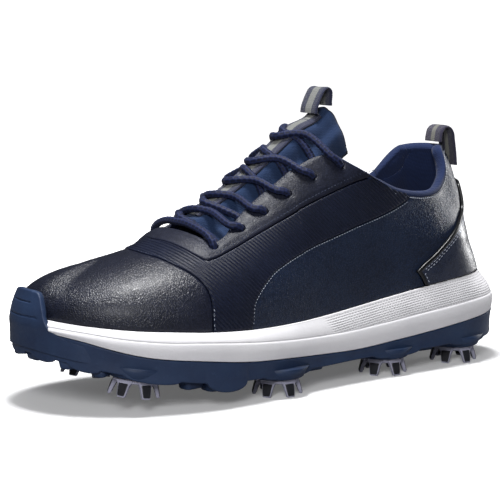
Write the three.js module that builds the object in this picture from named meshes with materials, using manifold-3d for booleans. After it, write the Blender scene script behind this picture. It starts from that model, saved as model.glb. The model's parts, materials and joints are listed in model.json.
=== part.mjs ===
// Golf shoe, left foot, men's size: a three.js scene graph of its separate pieces.
// Millimetres, +Z up, toe towards -X, lateral (outer) side towards -Y, medial side towards +Y,
// ground plane at z = 0.
import * as THREE from 'three';
import { mergeVertices } from 'three/addons/utils/BufferGeometryUtils.js';
import Module from 'manifold-3d';

const wasm = await Module();
wasm.setup();
const { clamp, euclideanModulo: mod, smoothstep } = THREE.MathUtils;

// ---------------------------------------------------------------- driving dimensions
const PAIRS = 20;            // intervals from heel tip to toe tip, on each side of the outline
const GAP = 0.35;            // clearance between neighbouring pieces
const LEATHER = 1.6;         // thickness of the outer panels
const PUFF = 0.9;            // thickness of the toe puff
const STIFFENER = 1.3;       // thickness of the heel stiffener
const LINING = 0.8;          // thickness of the vamp lining
const COLLAR_LINING = 1.2;   // thickness of the collar lining ahead of its pad
const COLLAR_PAD = 4.4;      // thickness of the padded collar
const SKIRT = 6.5;           // how far the upper runs down inside the midsole's rim
const FLOOR = 8;             // midsole floor below the rim edge
const PLATE = 5.2;           // thickness of the outsole plate
const LACE_R = 2.05;
// Offset that puts the footprint's bounding box on the origin.
const SHIFT = [0.297, 2.468, 0];

// Outline of the sole at its widest, [x, y]: heel tip first, then lateral side, toe tip, medial.
const OUTLINE = [
  [150, 0], [147, -17], [138, -30], [121, -38.5], [98, -42], [70, -43], [40, -44.5],
  [10, -47.5], [-20, -52.5], [-48, -56.5], [-76, -56.5], [-102, -50], [-124, -38], [-141, -20],
  [-150, 2], [-149, 22], [-138, 38], [-118, 48], [-92, 52], [-64, 51], [-36, 46],
  [-8, 41], [20, 37.5], [48, 36.5], [76, 37.5], [102, 38], [125, 34.5], [142, 20],
];
const POINTS = OUTLINE.length;

// Lookup tables hold [inputs], [values]; the input is x unless a comment says otherwise.
const RIM_Z = [ // top edge of the sidewall
  [-150, -137, -124, -108, -94, -72, -42, -17, 15, 30, 58, 84, 103, 130, 150],
  [48.5, 46.5, 45, 43.4, 42.4, 40.6, 38.9, 38.6, 40.2, 41.8, 45.2, 48.2, 50, 51.5, 52.2],
];
const CREASE_Z = [ // crease in the sidewall
  [-150, -132, -119, -99, -75, -46, -21, 0, 20, 54, 83, 120, 150],
  [46, 43, 40.5, 37.8, 36, 33.1, 31, 30, 29.8, 31.8, 34.5, 37.5, 40],
];
const OUTSOLE_EDGE_Z = [ // top edge of the outsole
  [-150, -134, -123, -114, -104, -95, -81, -46, -22, 10, 26, 63, 102, 130, 150],
  [43, 38.8, 35, 32.3, 30, 28.6, 27, 22.7, 21, 19.3, 18.8, 20.9, 24.6, 27.5, 31],
];
const PLATE_Z = [ // underside of the outsole plate
  [-152, -137, -120, -100, -80, -57, -18, 11, 32, 76, 103, 140, 151],
  [30.5, 26.2, 22, 18.2, 15.2, 13.2, 12.4, 12.4, 12.9, 12.9, 13.4, 14.6, 17],
];
// The ridge is the line along the top where the upper's two sides meet.
const RIDGE_X = [ // ridge x for an outline x
  [-150, -141, -124, -102, -76, -48, -20, 10, 40, 70, 98, 121, 138, 150],
  [-100, -99, -95.5, -86, -69.5, -46.5, -20, 9.5, 37, 60, 76, 84.5, 87.5, 88.5],
];
const RIDGE_Y = [[-100, -70, -40, 0, 40, 90], [7, 5, 3, 1, 0, 0]];
const RIDGE_Z = [
  [-100, -85, -70, -60, -50, -40, -27, -10, 7, 24, 40, 60, 90],
  [75.2, 79.4, 84.2, 88, 92, 96.5, 104, 115.5, 129, 143, 157, 172, 190],
];
// Section shape of the upper, by outline x: inset of its foot, and exponents of width and height.
const UPPER_INSET = [[-150, -100, 0, 100, 150], [5.5, 6, 6, 7, 8.5]];
const WIDTH_EXPONENT = [[-150, -100, -60, -20, 40, 150], [0.72, 0.82, 0.9, 0.95, 0.97, 1]];
const HEIGHT_EXPONENT = [
  [-150, -132, -100, -60, -20, 40, 150],
  [0.52, 0.68, 0.88, 0.95, 1, 1, 1],
];
// The medial side is shaped apart: width exponent factor, height exponent increase, bulge.
const MEDIAL_WIDTH_FACTOR = [
  [-150, -130, -105, -86, -68, -58, -20, 40, 90, 150],
  [1, 1.15, 1.5, 1.45, 1.02, 0.92, 0.82, 0.8, 0.9, 1],
];
const MEDIAL_HEIGHT_INCREASE = [
  [-150, -125, -100, -86, -68, -58, 150],
  [0, 0.2, 0.5, 0.45, 0.08, 0, 0],
];
const MEDIAL_BULGE = [
  [-150, -90, -50, -10, 30, 50, 75, 100, 150],
  [0, 0, 0.08, 0.2, 0.25, 0.2, 0.1, 0, 0],
];
// The heel is drawn in towards the ridge by a weight (outline x) times a fraction (height z).
const HEEL_WEIGHT = [[100, 112, 121, 130, 138, 146, 150], [0, 0.12, 0.32, 0.6, 0.82, 0.96, 1]];
const HEEL_FRACTION = [
  [50, 60, 72, 84, 93, 104, 116, 127, 145],
  [0, 0.06, 0.142, 0.145, 0.096, 0.08, 0.112, 0.2, 0.28],
];
// A further pinch below the collar, by outline steps from the heel tip: from PINCH_START_Z it
// grows up to PINCH_TOP_Z, where it reaches the fraction in PINCH.
const PINCH_START_Z = 72;
const PINCH_TOP_Z = [
  [0, 1, 1.5, 2, 2.5, 3, 3.5, 4, 4.5, 5, 5.5, 6, 6.4],
  [126.5, 126, 123.5, 117.5, 111, 107, 104.3, 103, 103.6, 106.5, 113, 121, 128],
];
const PINCH = [[0, 1, 2, 3, 4, 5, 6, 7], [0, 0.13, 0.21, 0.24, 0.13, 0.06, 0.02, 0]];

// ---------------------------------------------------------------- interpolation and outline
// Smooth interpolation in a lookup table, held constant beyond its ends.
function lookup([inputs, values], input) {
  const last = inputs.length - 1;
  const x = clamp(input, inputs[0], inputs[last]);
  let i = 0;
  while (i < last - 1 && x >= inputs[i + 1]) i++;
  const width = (k) => inputs[k + 1] - inputs[k];
  const grade = (k) => (values[k + 1] - values[k]) / width(k);
  const tangent = (k) => {
    if (k === 0) return grade(0);
    if (k === last) return grade(last - 1);
    return (grade(k - 1) * width(k) + grade(k) * width(k - 1)) / (width(k - 1) + width(k));
  };
  const t = (x - inputs[i]) / width(i);
  return values[i] * (1 + 2 * t) * (1 - t) ** 2
    + tangent(i) * width(i) * t * (1 - t) ** 2
    + values[i + 1] * t * t * (3 - 2 * t)
    + tangent(i + 1) * width(i) * t * t * (t - 1);
}

// Point [x, y] of the outline; s counts outline points, with fractions between them.
function outline(s) {
  const i = Math.floor(s);
  const t = s - i;
  const [p0, p1, p2, p3] = [i - 1, i, i + 1, i + 2].map((k) => OUTLINE[mod(k, POINTS)]);
  return [0, 1].map((c) => 0.5 * (2 * p1[c] + (-p0[c] + p2[c]) * t
    + (2 * p0[c] - 5 * p1[c] + 4 * p2[c] - p3[c]) * t * t
    + (-p0[c] + 3 * p1[c] - 3 * p2[c] + p3[c]) * t ** 3));
}

function outward(s) {
  const a = outline(s - 1e-3);
  const b = outline(s + 1e-3);
  const dx = b[0] - a[0];
  const dy = b[1] - a[1];
  const length = Math.hypot(dx, dy);
  return [-dy / length, dx / length];
}

function inset(s, distance) {
  const [x, y] = outline(s);
  const [nx, ny] = outward(s);
  return [x - nx * distance, y - ny * distance];
}

// Narrows a..b by halving; isBefore tells whether a place lies before the one sought.
function bisect(a, b, steps, isBefore) {
  for (let k = 0; k < steps; k++) {
    const middle = (a + b) / 2;
    if (isBefore(middle)) a = middle;
    else b = middle;
  }
  return [a, b];
}

// Place near s0 where sign * x is greatest.
function tip(s0, sign) {
  let a = s0 - 1;
  let b = s0 + 1;
  for (let k = 0; k < 60; k++) {
    const c = a + (b - a) / 3;
    const d = b - (b - a) / 3;
    if (sign * outline(c)[0] > sign * outline(d)[0]) b = d;
    else a = c;
  }
  return (a + b) / 2;
}

const S_HEEL = tip(0, 1);
const S_TOE = tip(14.4, -1);
const LATERAL_START = S_HEEL;
const MEDIAL_START = POINTS + S_HEEL;

// Stations come in lateral and medial pairs with the same outline x, so sections meet on the ridge.
function stationAt(start, j) {
  const heelX = outline(S_HEEL)[0];
  const toeX = outline(S_TOE)[0];
  const x = (heelX + toeX) / 2 + ((heelX - toeX) / 2) * Math.cos((Math.PI * j) / PAIRS);
  const [a, b] = bisect(start, S_TOE, 60, (s) => outline(s)[0] > x);
  return (a + b) / 2;
}
const ring = [S_HEEL];
for (let j = 1; j < PAIRS; j++) ring.push(stationAt(LATERAL_START, j));
ring.push(S_TOE);
for (let j = PAIRS - 1; j > 0; j--) ring.push(stationAt(MEDIAL_START, j));
const RING = ring.length;
const mate = (i) => mod(RING - i, RING); // ring index of the paired station

// ---------------------------------------------------------------- solids
function solid(positions, triangles) {
  const geometry = new THREE.BufferGeometry();
  geometry.setAttribute('position', new THREE.Float32BufferAttribute(positions.flat(), 3));
  geometry.setIndex(triangles.flat());
  return toSolid(geometry);
}

// Welds a geometry, drops collapsed triangles and turns it right side out.
function toSolid(source) {
  let geometry = source.index ? source.toNonIndexed() : source.clone();
  for (const key of Object.keys(geometry.attributes)) {
    if (key !== 'position') geometry.deleteAttribute(key);
  }
  geometry = mergeVertices(geometry, 2e-3);
  const index = geometry.index.array;
  const kept = [];
  const flipped = [];
  for (let i = 0; i < index.length; i += 3) {
    const [a, b, c] = [index[i], index[i + 1], index[i + 2]];
    if (a === b || b === c || a === c) continue;
    kept.push(a, b, c);
    flipped.push(a, c, b);
  }
  const make = (triangles) => new wasm.Manifold(new wasm.Mesh({
    numProp: 3,
    vertProperties: geometry.attributes.position.array,
    triVerts: new Uint32Array(triangles),
  }));
  const result = make(kept);
  return result.volume() < 0 ? make(flipped) : result;
}

// Skins rings, lowest first; each is a function of (s, ring index). Caps join paired stations.
function ringSolid(rings) {
  const positions = rings.flatMap((pointAt) => ring.map(pointAt));
  const triangles = [];
  const quad = (a, b, c, d) => triangles.push([a, b, c], [a, c, d]);
  for (let r = 0; r + 1 < rings.length; r++) {
    for (let i = 0; i < RING; i++) {
      const k = (i + 1) % RING;
      quad(r * RING + i, r * RING + k, (r + 1) * RING + k, (r + 1) * RING + i);
    }
  }
  const top = (rings.length - 1) * RING;
  for (let j = 0; j < PAIRS; j++) {
    const [a, b, c, d] = [j, j + 1, mate(j + 1), mate(j)];
    quad(a, d, c, b);
    quad(top + a, top + b, top + c, top + d);
  }
  return solid(positions, triangles);
}

// End cap of a general profile, triangulated in its own plane.
function flatCap(polygon) {
  const points = polygon.map((p) => new THREE.Vector3(...p));
  const from0 = (k) => points[k].clone().sub(points[0]);
  const u = from0(1).normalize();
  const normal = new THREE.Vector3();
  for (let k = 1; k + 1 < points.length; k++) normal.add(from0(k).cross(from0(k + 1)));
  const v = normal.normalize().cross(u).normalize();
  const flat = points.map((p) => new THREE.Vector2(p.dot(u), p.dot(v)));
  return THREE.ShapeUtils.triangulateShape(flat, []);
}

// End cap of a profile made of an outer row followed by the inner row reversed.
function stripCap({ length: n }) {
  const triangles = [];
  for (let k = 0; k + 1 < n / 2; k++) {
    triangles.push([k, k + 1, n - 1 - k], [k + 1, n - 2 - k, n - 1 - k]);
  }
  return triangles;
}

// A profile polygon carried along a list of parameters.
function sweep(list, profile, cap) {
  const polygons = list.map(profile);
  const n = polygons[0].length;
  const last = list.length - 1;
  const triangles = [];
  for (let a = 0; a < last; a++) {
    for (let k = 0; k < n; k++) {
      const l = (k + 1) % n;
      triangles.push([a * n + k, a * n + l, (a + 1) * n + l]);
      triangles.push([a * n + k, (a + 1) * n + l, (a + 1) * n + k]);
    }
  }
  for (const [x, y, z] of cap(polygons[0])) triangles.push([x, z, y]);
  for (const t of cap(polygons[last])) triangles.push(t.map((k) => last * n + k));
  return solid(polygons.flat(), triangles);
}

const CUT_SIDE = 90;   // cutting blocks reach this far each way in Y
const CUT_FLOOR = 20;  // and between these heights
const CUT_TOP = 240;

function extrude(points, depth) {
  const shape = new THREE.Shape(points.map(([u, v]) => new THREE.Vector2(u, v)));
  return new THREE.ExtrudeGeometry(shape, { depth, bevelEnabled: false, steps: 1 });
}
// An X,Z polygon carried straight through in Y.
function slabXZ(points, y0 = -CUT_SIDE, y1 = CUT_SIDE) {
  return toSolid(extrude(points, y1 - y0).rotateX(Math.PI / 2).translate(0, y1, 0));
}
const slabXY = (points, z0, z1) => toSolid(extrude(points, z1 - z0).translate(0, 0, z0));
const block = (x0, x1, y0, y1, z0, z1) => slabXY([[x0, y0], [x1, y0], [x1, y1], [x0, y1]], z0, z1);
const layer = (z0, z1) => block(-200, 200, -CUT_SIDE, CUT_SIDE, z0, z1);
const lengthBand = (x0, x1, z0 = CUT_FLOOR) => (
  slabXZ([[x0, z0], [x1, z0], [x1, CUT_TOP], [x0, CUT_TOP]]));

// Stands on z = 0.
function cylinder(bottomR, topR, height, segments) {
  const geometry = new THREE.CylinderGeometry(topR, bottomR, height, segments);
  return toSolid(geometry.rotateX(Math.PI / 2).translate(0, 0, height / 2));
}

// Stands a solid built on +Z at a point, along an axis.
function place(item, point, axis) {
  const up = new THREE.Vector3(0, 0, 1);
  const turn = new THREE.Quaternion()
    .setFromUnitVectors(up, new THREE.Vector3(...axis).normalize());
  const scale = new THREE.Vector3(1, 1, 1);
  return item.transform(
    new THREE.Matrix4().compose(new THREE.Vector3(...point), turn, scale).elements);
}

// The line moved sideways by d, to the left of its direction.
function shifted(line, d) {
  return line.map(([x, z], i) => {
    const a = line[Math.max(i - 1, 0)];
    const b = line[Math.min(i + 1, line.length - 1)];
    const dx = b[0] - a[0];
    const dz = b[1] - a[1];
    const length = Math.hypot(dx, dz);
    return [x - (dz / length) * d, z + (dx / length) * d];
  });
}

// ---------------------------------------------------------------- upper surface
const ridgeY = (x) => lookup(RIDGE_Y, x);
const ridgeSlope = (x) => lookup(RIDGE_Z, x + 0.5) - lookup(RIDGE_Z, x - 0.5);
const upperInset = (s) => lookup(UPPER_INSET, outline(s)[0]);

// Point of the upper's outer surface: s round the outline, t from the rim (0) to the ridge (1).
function surfacePoint(s, t) {
  const outlineX = outline(s)[0];
  const [footX, footY] = inset(s, upperInset(s));
  const rimZ = lookup(RIM_Z, footX);
  const topX = lookup(RIDGE_X, outlineX);
  const topY = ridgeY(topX);
  const topZ = lookup(RIDGE_Z, topX);
  const station = mod(s, POINTS);
  const medial = station > S_TOE ? 1 : 0;

  const bulge = medial * lookup(MEDIAL_BULGE, outlineX) * Math.sin(Math.PI * t);
  const widthExponent = lookup(WIDTH_EXPONENT, outlineX)
    * (medial ? lookup(MEDIAL_WIDTH_FACTOR, outlineX) : 1);
  const heightExponent = lookup(HEIGHT_EXPONENT, outlineX)
    + medial * lookup(MEDIAL_HEIGHT_INCREASE, outlineX);
  const width = Math.max(Math.cos((Math.PI / 2) * t), 0) ** widthExponent * (1 + bulge);
  const rise = Math.max(Math.sin((Math.PI / 2) * t), 0) ** heightExponent;

  const z = rimZ + (topZ - rimZ) * rise;
  const steps = Math.min(station, POINTS - station); // from the heel tip
  const climb = clamp((z - PINCH_START_Z) / (lookup(PINCH_TOP_Z, steps) - PINCH_START_Z), 0, 1.15);
  const pinchShare = climb * climb * (3 - 2 * Math.min(climb, 1));
  const drawnIn = lookup(HEEL_WEIGHT, outlineX) * lookup(HEEL_FRACTION, z)
    + lookup(PINCH, steps) * pinchShare;

  const reach = width * (1 - drawnIn);
  const x = topX + (footX - topX) * reach;
  // Ahead of x = 0 the section also follows the ridge's slope.
  const tilt = outlineX < 0 ? ridgeSlope(topX) * (x - topX) : 0;
  return new THREE.Vector3(
    x, topY + (footY - topY) * reach, rimZ * (1 - rise) + rise * (topZ + tilt));
}

function surfaceNormal(s, t, ds) {
  const along = surfacePoint(s + ds, t).sub(surfacePoint(s - ds, t));
  const up = surfacePoint(s, Math.min(t + 0.01, 1)).sub(surfacePoint(s, Math.max(t - 0.01, 0)));
  return along.cross(up).normalize();
}

const RISES = [0, 0.1, 0.2, 0.31, 0.42, 0.53, 0.64, 0.76, 0.88, 1];
const surfaceGrid = RISES.map((t) => ring.map((s) => surfacePoint(s, t)));
const gridNormals = surfaceGrid.map((row, r) => row.map((point, i) => {
  if (RISES[r] === 1) return new THREE.Vector3(-ridgeSlope(point.x), 0, 1).normalize();
  const normal = surfaceNormal(ring[i], RISES[r], 0.04);
  const [ox, oy] = outward(ring[i]);
  if (normal.x * ox + normal.y * oy + normal.z * 0.4 < 0) normal.negate();
  return normal;
}));

// The closed body under the upper's outer surface, grown by d (shrunk where negative).
function body(d, skirt = SKIRT) {
  return ringSolid([
    (s, i) => [...inset(s, upperInset(s) - d), surfaceGrid[0][i].z - skirt],
    ...RISES.map((_, r) => (s, i) => (
      surfaceGrid[r][i].clone().addScaledVector(gridNormals[r][i], d).toArray())),
  ]);
}
const shell = (inner, outer, skirt = SKIRT) => body(outer, skirt).subtract(body(inner, skirt + 3));

// Point and upward normal of the outer surface above plan point x, y, for the vamp and instep.
function onUpper(x, y) {
  const start = y < ridgeY(x) ? LATERAL_START : MEDIAL_START;
  const fromRidge = Math.abs(y - ridgeY(x));
  const riseAt = (s) => bisect(0, 1, 30, (t) => {
    const p = surfacePoint(s, t);
    return Math.abs(p.y - ridgeY(p.x)) > fromRidge;
  })[0];
  const [a, b] = bisect(start, S_TOE, 30, (s) => surfacePoint(s, riseAt(s)).x > x);
  const s = (a + b) / 2;
  const t = riseAt(s);
  const normal = surfaceNormal(s, t, 0.05);
  if (normal.z < 0) normal.negate();
  return { point: surfacePoint(s, t), normal };
}
const lift = (place, d) => place.point.clone().addScaledVector(place.normal, d);

// ---------------------------------------------------------------- seams and openings
// Seam lines in side view, [x, z], each running upwards.
const TOE_SEAM = [
  [-67.6, 28], [-67.6, 48], [-66.8, 54.5], [-67.4, 59.5], [-68.5, 64.4], [-70.8, 67.9],
  [-73.5, 70.9], [-76.7, 73.7], [-79.6, 75.9], [-82, 77.7], [-84.2, 79], [-86, 82], [-88, 95],
];
const RIB_SEAM = [
  [-43, 28], [-42.6, 40], [-41.6, 46.7], [-40.4, 51.8], [-37.7, 55.6], [-34.3, 58.9],
  [-29.3, 63], [-23.6, 67.2], [-14.5, 71.5], [-4.8, 75.4], [9.7, 79.5], [24.1, 83.3],
  [38.7, 87.1], [53.4, 90.4], [69.2, 95.9], [77.4, 99.4], [84, 106], [90, 115],
];
// This one runs from toe to heel, dipping first.
const EYE_SEAM = [
  [-76, 90], [-72.5, 84.2], [-71, 83.5], [-68.9, 81.6], [-65.6, 78.2], [-61.4, 74.9],
  [-46.5, 79.8], [-32.9, 84.8], [-19.3, 90.4], [0.7, 98], [14.5, 103.3], [28.2, 107.4],
  [42.3, 111], [54, 113], [60, 114.5], [75, 120],
];
// The regions' seam edges are moved outwards by grow.
const toeRegion = (grow = 0) => slabXZ([
  ...shifted(TOE_SEAM, -grow),
  [-88, 140], [-190, 140], [-190, CUT_FLOOR], [TOE_SEAM[0][0] + grow, CUT_FLOOR],
]);
const eyeRegion = (grow = 0) => slabXZ([
  ...shifted(EYE_SEAM, -grow), [75, CUT_TOP], [-76, CUT_TOP],
]);
const rearRegion = (grow = 0) => slabXZ([
  ...shifted(RIB_SEAM, grow),
  [90, CUT_TOP], [220, CUT_TOP], [220, CUT_FLOOR], [RIB_SEAM[0][0], CUT_FLOOR],
]);

// Edge of the foot opening in side view, [x, z].
const TOP_LINE_LATERAL = [
  [24, 131], [33, 128], [38, 125], [51, 117], [58, 112], [67, 107], [75, 104.3], [83, 102.8],
  [94, 104.2], [102, 108], [109, 114.5], [114, 120.5], [118, 125], [123, 126.6], [145, 127],
];
const TOP_LINE_MEDIAL = [
  [24, 131], [33, 128], [38, 125], [51, 117], [58, 112], [67, 107], [75, 104.6], [81, 105],
  [86.2, 108], [89.5, 111], [93.6, 116], [97.9, 120.6], [102.1, 124.1], [105.5, 126],
  [109.5, 126.8], [123, 127], [145, 127],
];
const ABOVE_TOP_LINE = [[220, 127], [220, 320], [24, 320]];
const collarCut = slabXZ([...TOP_LINE_LATERAL, ...ABOVE_TOP_LINE], -CUT_SIDE, 0)
  .add(slabXZ([...TOP_LINE_MEDIAL, ...ABOVE_TOP_LINE], 0, CUT_SIDE));

// Throat: a slot open towards the heel, round at its toe end. Half width from the ridge line.
const THROAT_HALF_WIDTH = [
  [-57.2, -56.4, -54.6, -51.5, -46, -38, -27, -10, 10, 25, 44],
  [10, 17, 23.5, 27.2, 28, 26, 23, 21.8, 21.3, 23, 26],
];
const THROAT_MEDIAL_FACTOR = [[-57, -45, -27, -10], [0.8, 0.82, 0.93, 1]];
const throatHalfWidth = (side, x) => (
  lookup(THROAT_HALF_WIDTH, x) * (side > 0 ? lookup(THROAT_MEDIAL_FACTOR, x) : 1));
function throatCut(grow = 0) {
  const edge = (side) => THROAT_HALF_WIDTH[0].map((x) => (
    [x - grow, ridgeY(x) + side * (throatHalfWidth(side, x) + grow)]));
  return slabXY([...edge(-1), ...edge(1).reverse()], 66, CUT_TOP);
}

// ---------------------------------------------------------------- sole
const height = (table, offset = 0) => (x) => lookup(table, x) + offset;
const plateTop = (offset = 0) => height(PLATE_Z, PLATE + offset);
const floor = (offset = 0) => height(RIM_Z, offset - FLOOR);
// A ring for ringSolid: height from the outline x, inset from s.
const level = (zAt, insetAt) => (s) => [...inset(s, insetAt(s)), zAt(outline(s)[0])];
// Everything from z = 5 up to a height, inside the outline grown by a margin.
const below = (zAt, margin) => (
  ringSolid([level(() => 5, () => -margin), level(zAt, () => -margin)]));

const plate = ringSolid([
  level(height(PLATE_Z), () => 3.4),
  level(height(PLATE_Z, 0.6), () => 1.6),
  level(height(PLATE_Z, 3), () => 0.9),
  level(height(OUTSOLE_EDGE_Z), () => 0.5),
  level(height(OUTSOLE_EDGE_Z), () => 3.4),
  level(plateTop(), () => 4.6),
]);

// Toe bumper: the outsole's rubber turned up over the toe. Inputs are outline steps from the toe.
const BUMPER_TOP_Z = [
  [0, 0.6, 0.92, 1.02, 1.1, 1.3, 1.5, 1.9, 2.4],
  [62.3, 62, 60, 57.5, 50.5, 46, 42.3, 38.9, 35.2],
];
const BUMPER_STEPS = [
  -2.2, -1.8, -1.4, -1.1, -1, -0.88, -0.5, 0, 0.5, 0.88, 1, 1.1, 1.4, 1.8, 2.2,
];
const BUMPER_BACK = 3.5;      // inset of its inner face
const BUMPER_LIP_BACK = 13;   // inset of the lip over the toe, where the top is above LIP_Z
const BUMPER_LIP_Z = 52;
const BUMPER_LEAN_Z = 44;     // the outer face leans in above this height
// Enlarged outwards, inwards and upwards by the three arguments.
function bumperSweep(outwards, inwards, upwards) {
  const lean = (z) => Math.max(0, (z - BUMPER_LEAN_Z) / 18) ** 1.4 * 4.6;
  const back = BUMPER_BACK + inwards;
  return sweep(BUMPER_STEPS.map((step) => S_TOE + step), (s) => {
    const top = lookup(BUMPER_TOP_Z, Math.abs(s - S_TOE)) + upwards;
    const bottom = lookup(PLATE_Z, outline(s)[0]) + 2;
    const outerZ = Math.min(BUMPER_LEAN_Z, top - 1.2);
    const innerZ = Math.min(49.4, top - 0.6);
    const shoulderZ = Math.max(outerZ + 0.4, Math.min(top - 0.6, 51.5));
    return [ // [inset, z]
      [0.9 - outwards, bottom],
      [back, bottom],
      [back, innerZ],
      [top > BUMPER_LIP_Z ? BUMPER_LIP_BACK : back, top - 0.3],
      [lean(top) + 0.9 - outwards, top],
      [lean(shoulderZ) + 0.1 - outwards, shoulderZ],
      [0.1 - outwards, outerZ],
    ].map(([d, z]) => [...inset(s, d), z]);
  }, flatCap);
}
const upperHull = body(GAP, SKIRT + 4);
const bumper = bumperSweep(0, 0, 0).subtract(upperHull);

const CLEAT_H = 9.4;         // cleat seat to tip
const CLEAT_R = 11.6;        // cleat flange radius
const CLEAT_TIP_R = 13.6;    // radius the splayed legs reach
const RECEPTACLE_R = 8;
const POST_R = 4.6;
// Seat centre and tilt towards +X in degrees, [x, y, z, tilt], toe first on each side.
const CLEATS = [
  [-104, -32, 17.6, 8], [-20, -39.5, CLEAT_H, 0], [61, -28, CLEAT_H, 0], [117, -23.5, CLEAT_H, 0],
  [-99, 30, 17, 8], [-36, 33, CLEAT_H, 0], [61, 22, CLEAT_H, 0], [116, 22.5, CLEAT_H, 0],
].map(([x, y, z, tilt]) => {
  const angle = (tilt * Math.PI) / 180;
  return { x, y, z, axis: [Math.sin(angle), 0, Math.cos(angle)] };
});

// Traction lugs: blocks with cut corners, [x, y, length, width, angle, drop below the plate].
const LUGS = [
  [-143, 2, 9, 12, 0.1, 2], [-141, 23, 10, 9, -0.5, 2], [-134, -16, 12, 9, 0.75, 2.2],
  [-128, 34, 12, 9, -0.8, 2.4], [-122, -29, 11, 8, 0.55, 2.8], [-122, 4, 10, 12, 0, 3],
  [-78, -45, 14, 10, 0.15, 4], [-62, -47, 22, 13, 0.05, 4.6], [-76, 39, 20, 12, -0.1, 4.4],
  [-66, 4, 13, 15, 0.2, 4.2], [-84, -8, 9, 11, 0.2, 3.6], [-86, 14, 9, 9, -0.2, 3.6],
  [-44, 8, 11, 13, 0, 4.2], [-44, -24, 10, 9, 0.3, 4], [4, -38, 14, 8, 0.1, 2.8],
  [-8, 28, 14, 8, -0.2, 2.8], [88, -31, 13, 8, 0, 3], [88, 27, 13, 8, 0, 3],
  [94, -6, 12, 15, 0, 5.2], [139, -12, 9, 10, -0.5, 4.6], [140, 9, 9, 10, 0.4, 4.6],
  [128, 0, 8, 10, 0, 4],
];
const LUG_CORNER = 0.28;     // share of each half side cut off at a corner
const LUG_FOOT_SCALE = 0.8;  // taper at the tread
const LUG_ROOT_SCALE = 1.12; // spread where it enters the plate
const LUG_ROOT = 2.2;        // depth into the plate
const LUG_FLOOR = 4.5;       // nothing of the outsole lies below this height

function lug([x, y, length, width, angle, drop]) {
  const [l, w] = [length / 2, width / 2];
  const [lc, wc] = [l * (1 - LUG_CORNER), w * (1 - LUG_CORNER)];
  const octagon = [[l, -wc], [l, wc], [lc, w], [-lc, w], [-l, wc], [-l, -wc], [-lc, -w], [lc, -w]];
  const cos = Math.cos(angle);
  const sin = Math.sin(angle);
  const z = lookup(PLATE_Z, x);
  const positions = [[LUG_FOOT_SCALE, -drop], [LUG_ROOT_SCALE, LUG_ROOT]].flatMap(
    ([scale, rise]) => octagon.map(([u, v]) => (
      [x + (u * cos - v * sin) * scale, y + (u * sin + v * cos) * scale, z + rise])));
  const triangles = [];
  for (let k = 0; k < 8; k++) {
    const next = (k + 1) % 8;
    triangles.push([k, next, 8 + next], [k, 8 + next, 8 + k]);
  }
  for (let k = 1; k < 7; k++) triangles.push([0, k + 1, k], [8, 8 + k, 8 + k + 1]);
  return solid(positions, triangles);
}

function outsole() {
  let result = plate.add(bumper);
  const boss = cylinder(14.2, 17, 6.5, 14);
  for (const { x, y, z, axis } of CLEATS) result = result.add(place(boss, [x, y, z + GAP], axis));
  for (const row of LUGS) result = result.add(lug(row));
  result = result.subtract(layer(-20, LUG_FLOOR));
  const bore = cylinder(RECEPTACLE_R + 0.3, RECEPTACLE_R + 0.3, 6.3, 12);
  for (const { x, y, z, axis } of CLEATS) {
    result = result.subtract(place(bore, [x - axis[0], y, z - 1], axis));
  }
  // Only the bumper reaches above the plate's top under the midsole.
  const aboveTop = ringSolid([level(plateTop(0.01), () => 3.6), level(plateTop(30), () => 3.6)]);
  return result.subtract(aboveTop.subtract(bumper));
}

const SHANK = { toeEnd: -24, heelEnd: 84, halfWidth: 10, bottom: 18.75, top: 20.8 };
function shank() {
  const { toeEnd, heelEnd, halfWidth: w, bottom, top } = SHANK;
  const end = w - 1; // half width at the tapered ends
  const taper = 14;  // length of each tapered end
  return slabXY([
    [toeEnd, -end], [toeEnd + taper, -w], [heelEnd - taper, -w], [heelEnd, -end],
    [heelEnd, end], [heelEnd - taper, w], [toeEnd + taper, w], [toeEnd, end],
  ], bottom, top);
}

function midsole() {
  const rimInset = (s) => upperInset(s) - 0.45; // inner edge of the rim
  const halfway = (x) => (lookup(OUTSOLE_EDGE_Z, x) + lookup(CREASE_Z, x)) / 2;
  const block0 = ringSolid([
    level(plateTop(GAP), () => 5.4),
    level(height(OUTSOLE_EDGE_Z, GAP), () => 3.9),
    level(height(OUTSOLE_EDGE_Z, GAP + 0.02), () => 0.7),
    level(halfway, () => 0.1),
    level(height(CREASE_Z), () => 0.8),
    level(height(CREASE_Z, 0.8), () => 1.4),
    level(height(RIM_Z, 0.1), (s) => upperInset(s) - 1.7),
    level(height(RIM_Z, 0.12), rimInset),
    level(floor(), (s) => Math.max(rimInset(s), 4.6)),
  ]);
  const upperRoom = upperHull.intersect(layer(0, 70)).subtract(below(floor(), 0));
  const bumperRoom = bumperSweep(4, GAP, GAP).subtract(layer(0, 20));
  const { toeEnd, heelEnd, halfWidth } = SHANK;
  const play = 0.5; // round the shank in plan
  const side = halfWidth + play;
  const shankSlot = block(toeEnd - play, heelEnd + play, -side, side, 15, 21.2);
  return block0.subtract(upperRoom).subtract(bumperRoom).subtract(shankSlot);
}

// The footbed's edge, inboard of the upper's foot.
const FOOTBED_INSET = [[-150, 0, 30, 150], [5.2, 5.4, 7.2, 7.6]];
const footbedInset = (s) => upperInset(s) + lookup(FOOTBED_INSET, outline(s)[0]);
const insoleBoard = () => (
  ringSolid([level(floor(GAP), footbedInset), level(floor(2.2), footbedInset)]));

const SOCKLINER_EDGE = [[-150, -20, 40, 150], [6.6, 7.2, 9.6, 9.6]]; // edge above the floor
function sockliner() {
  const within = (d) => (s) => footbedInset(s) + d;
  return ringSolid([
    level(floor(2.6), within(0.7)),
    level(floor(5.2), within(0.4)),
    level((x) => floor()(x) + lookup(SOCKLINER_EDGE, x), within(0.5)),
    level(floor(6.4), within(8)),
  ]);
}

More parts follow.
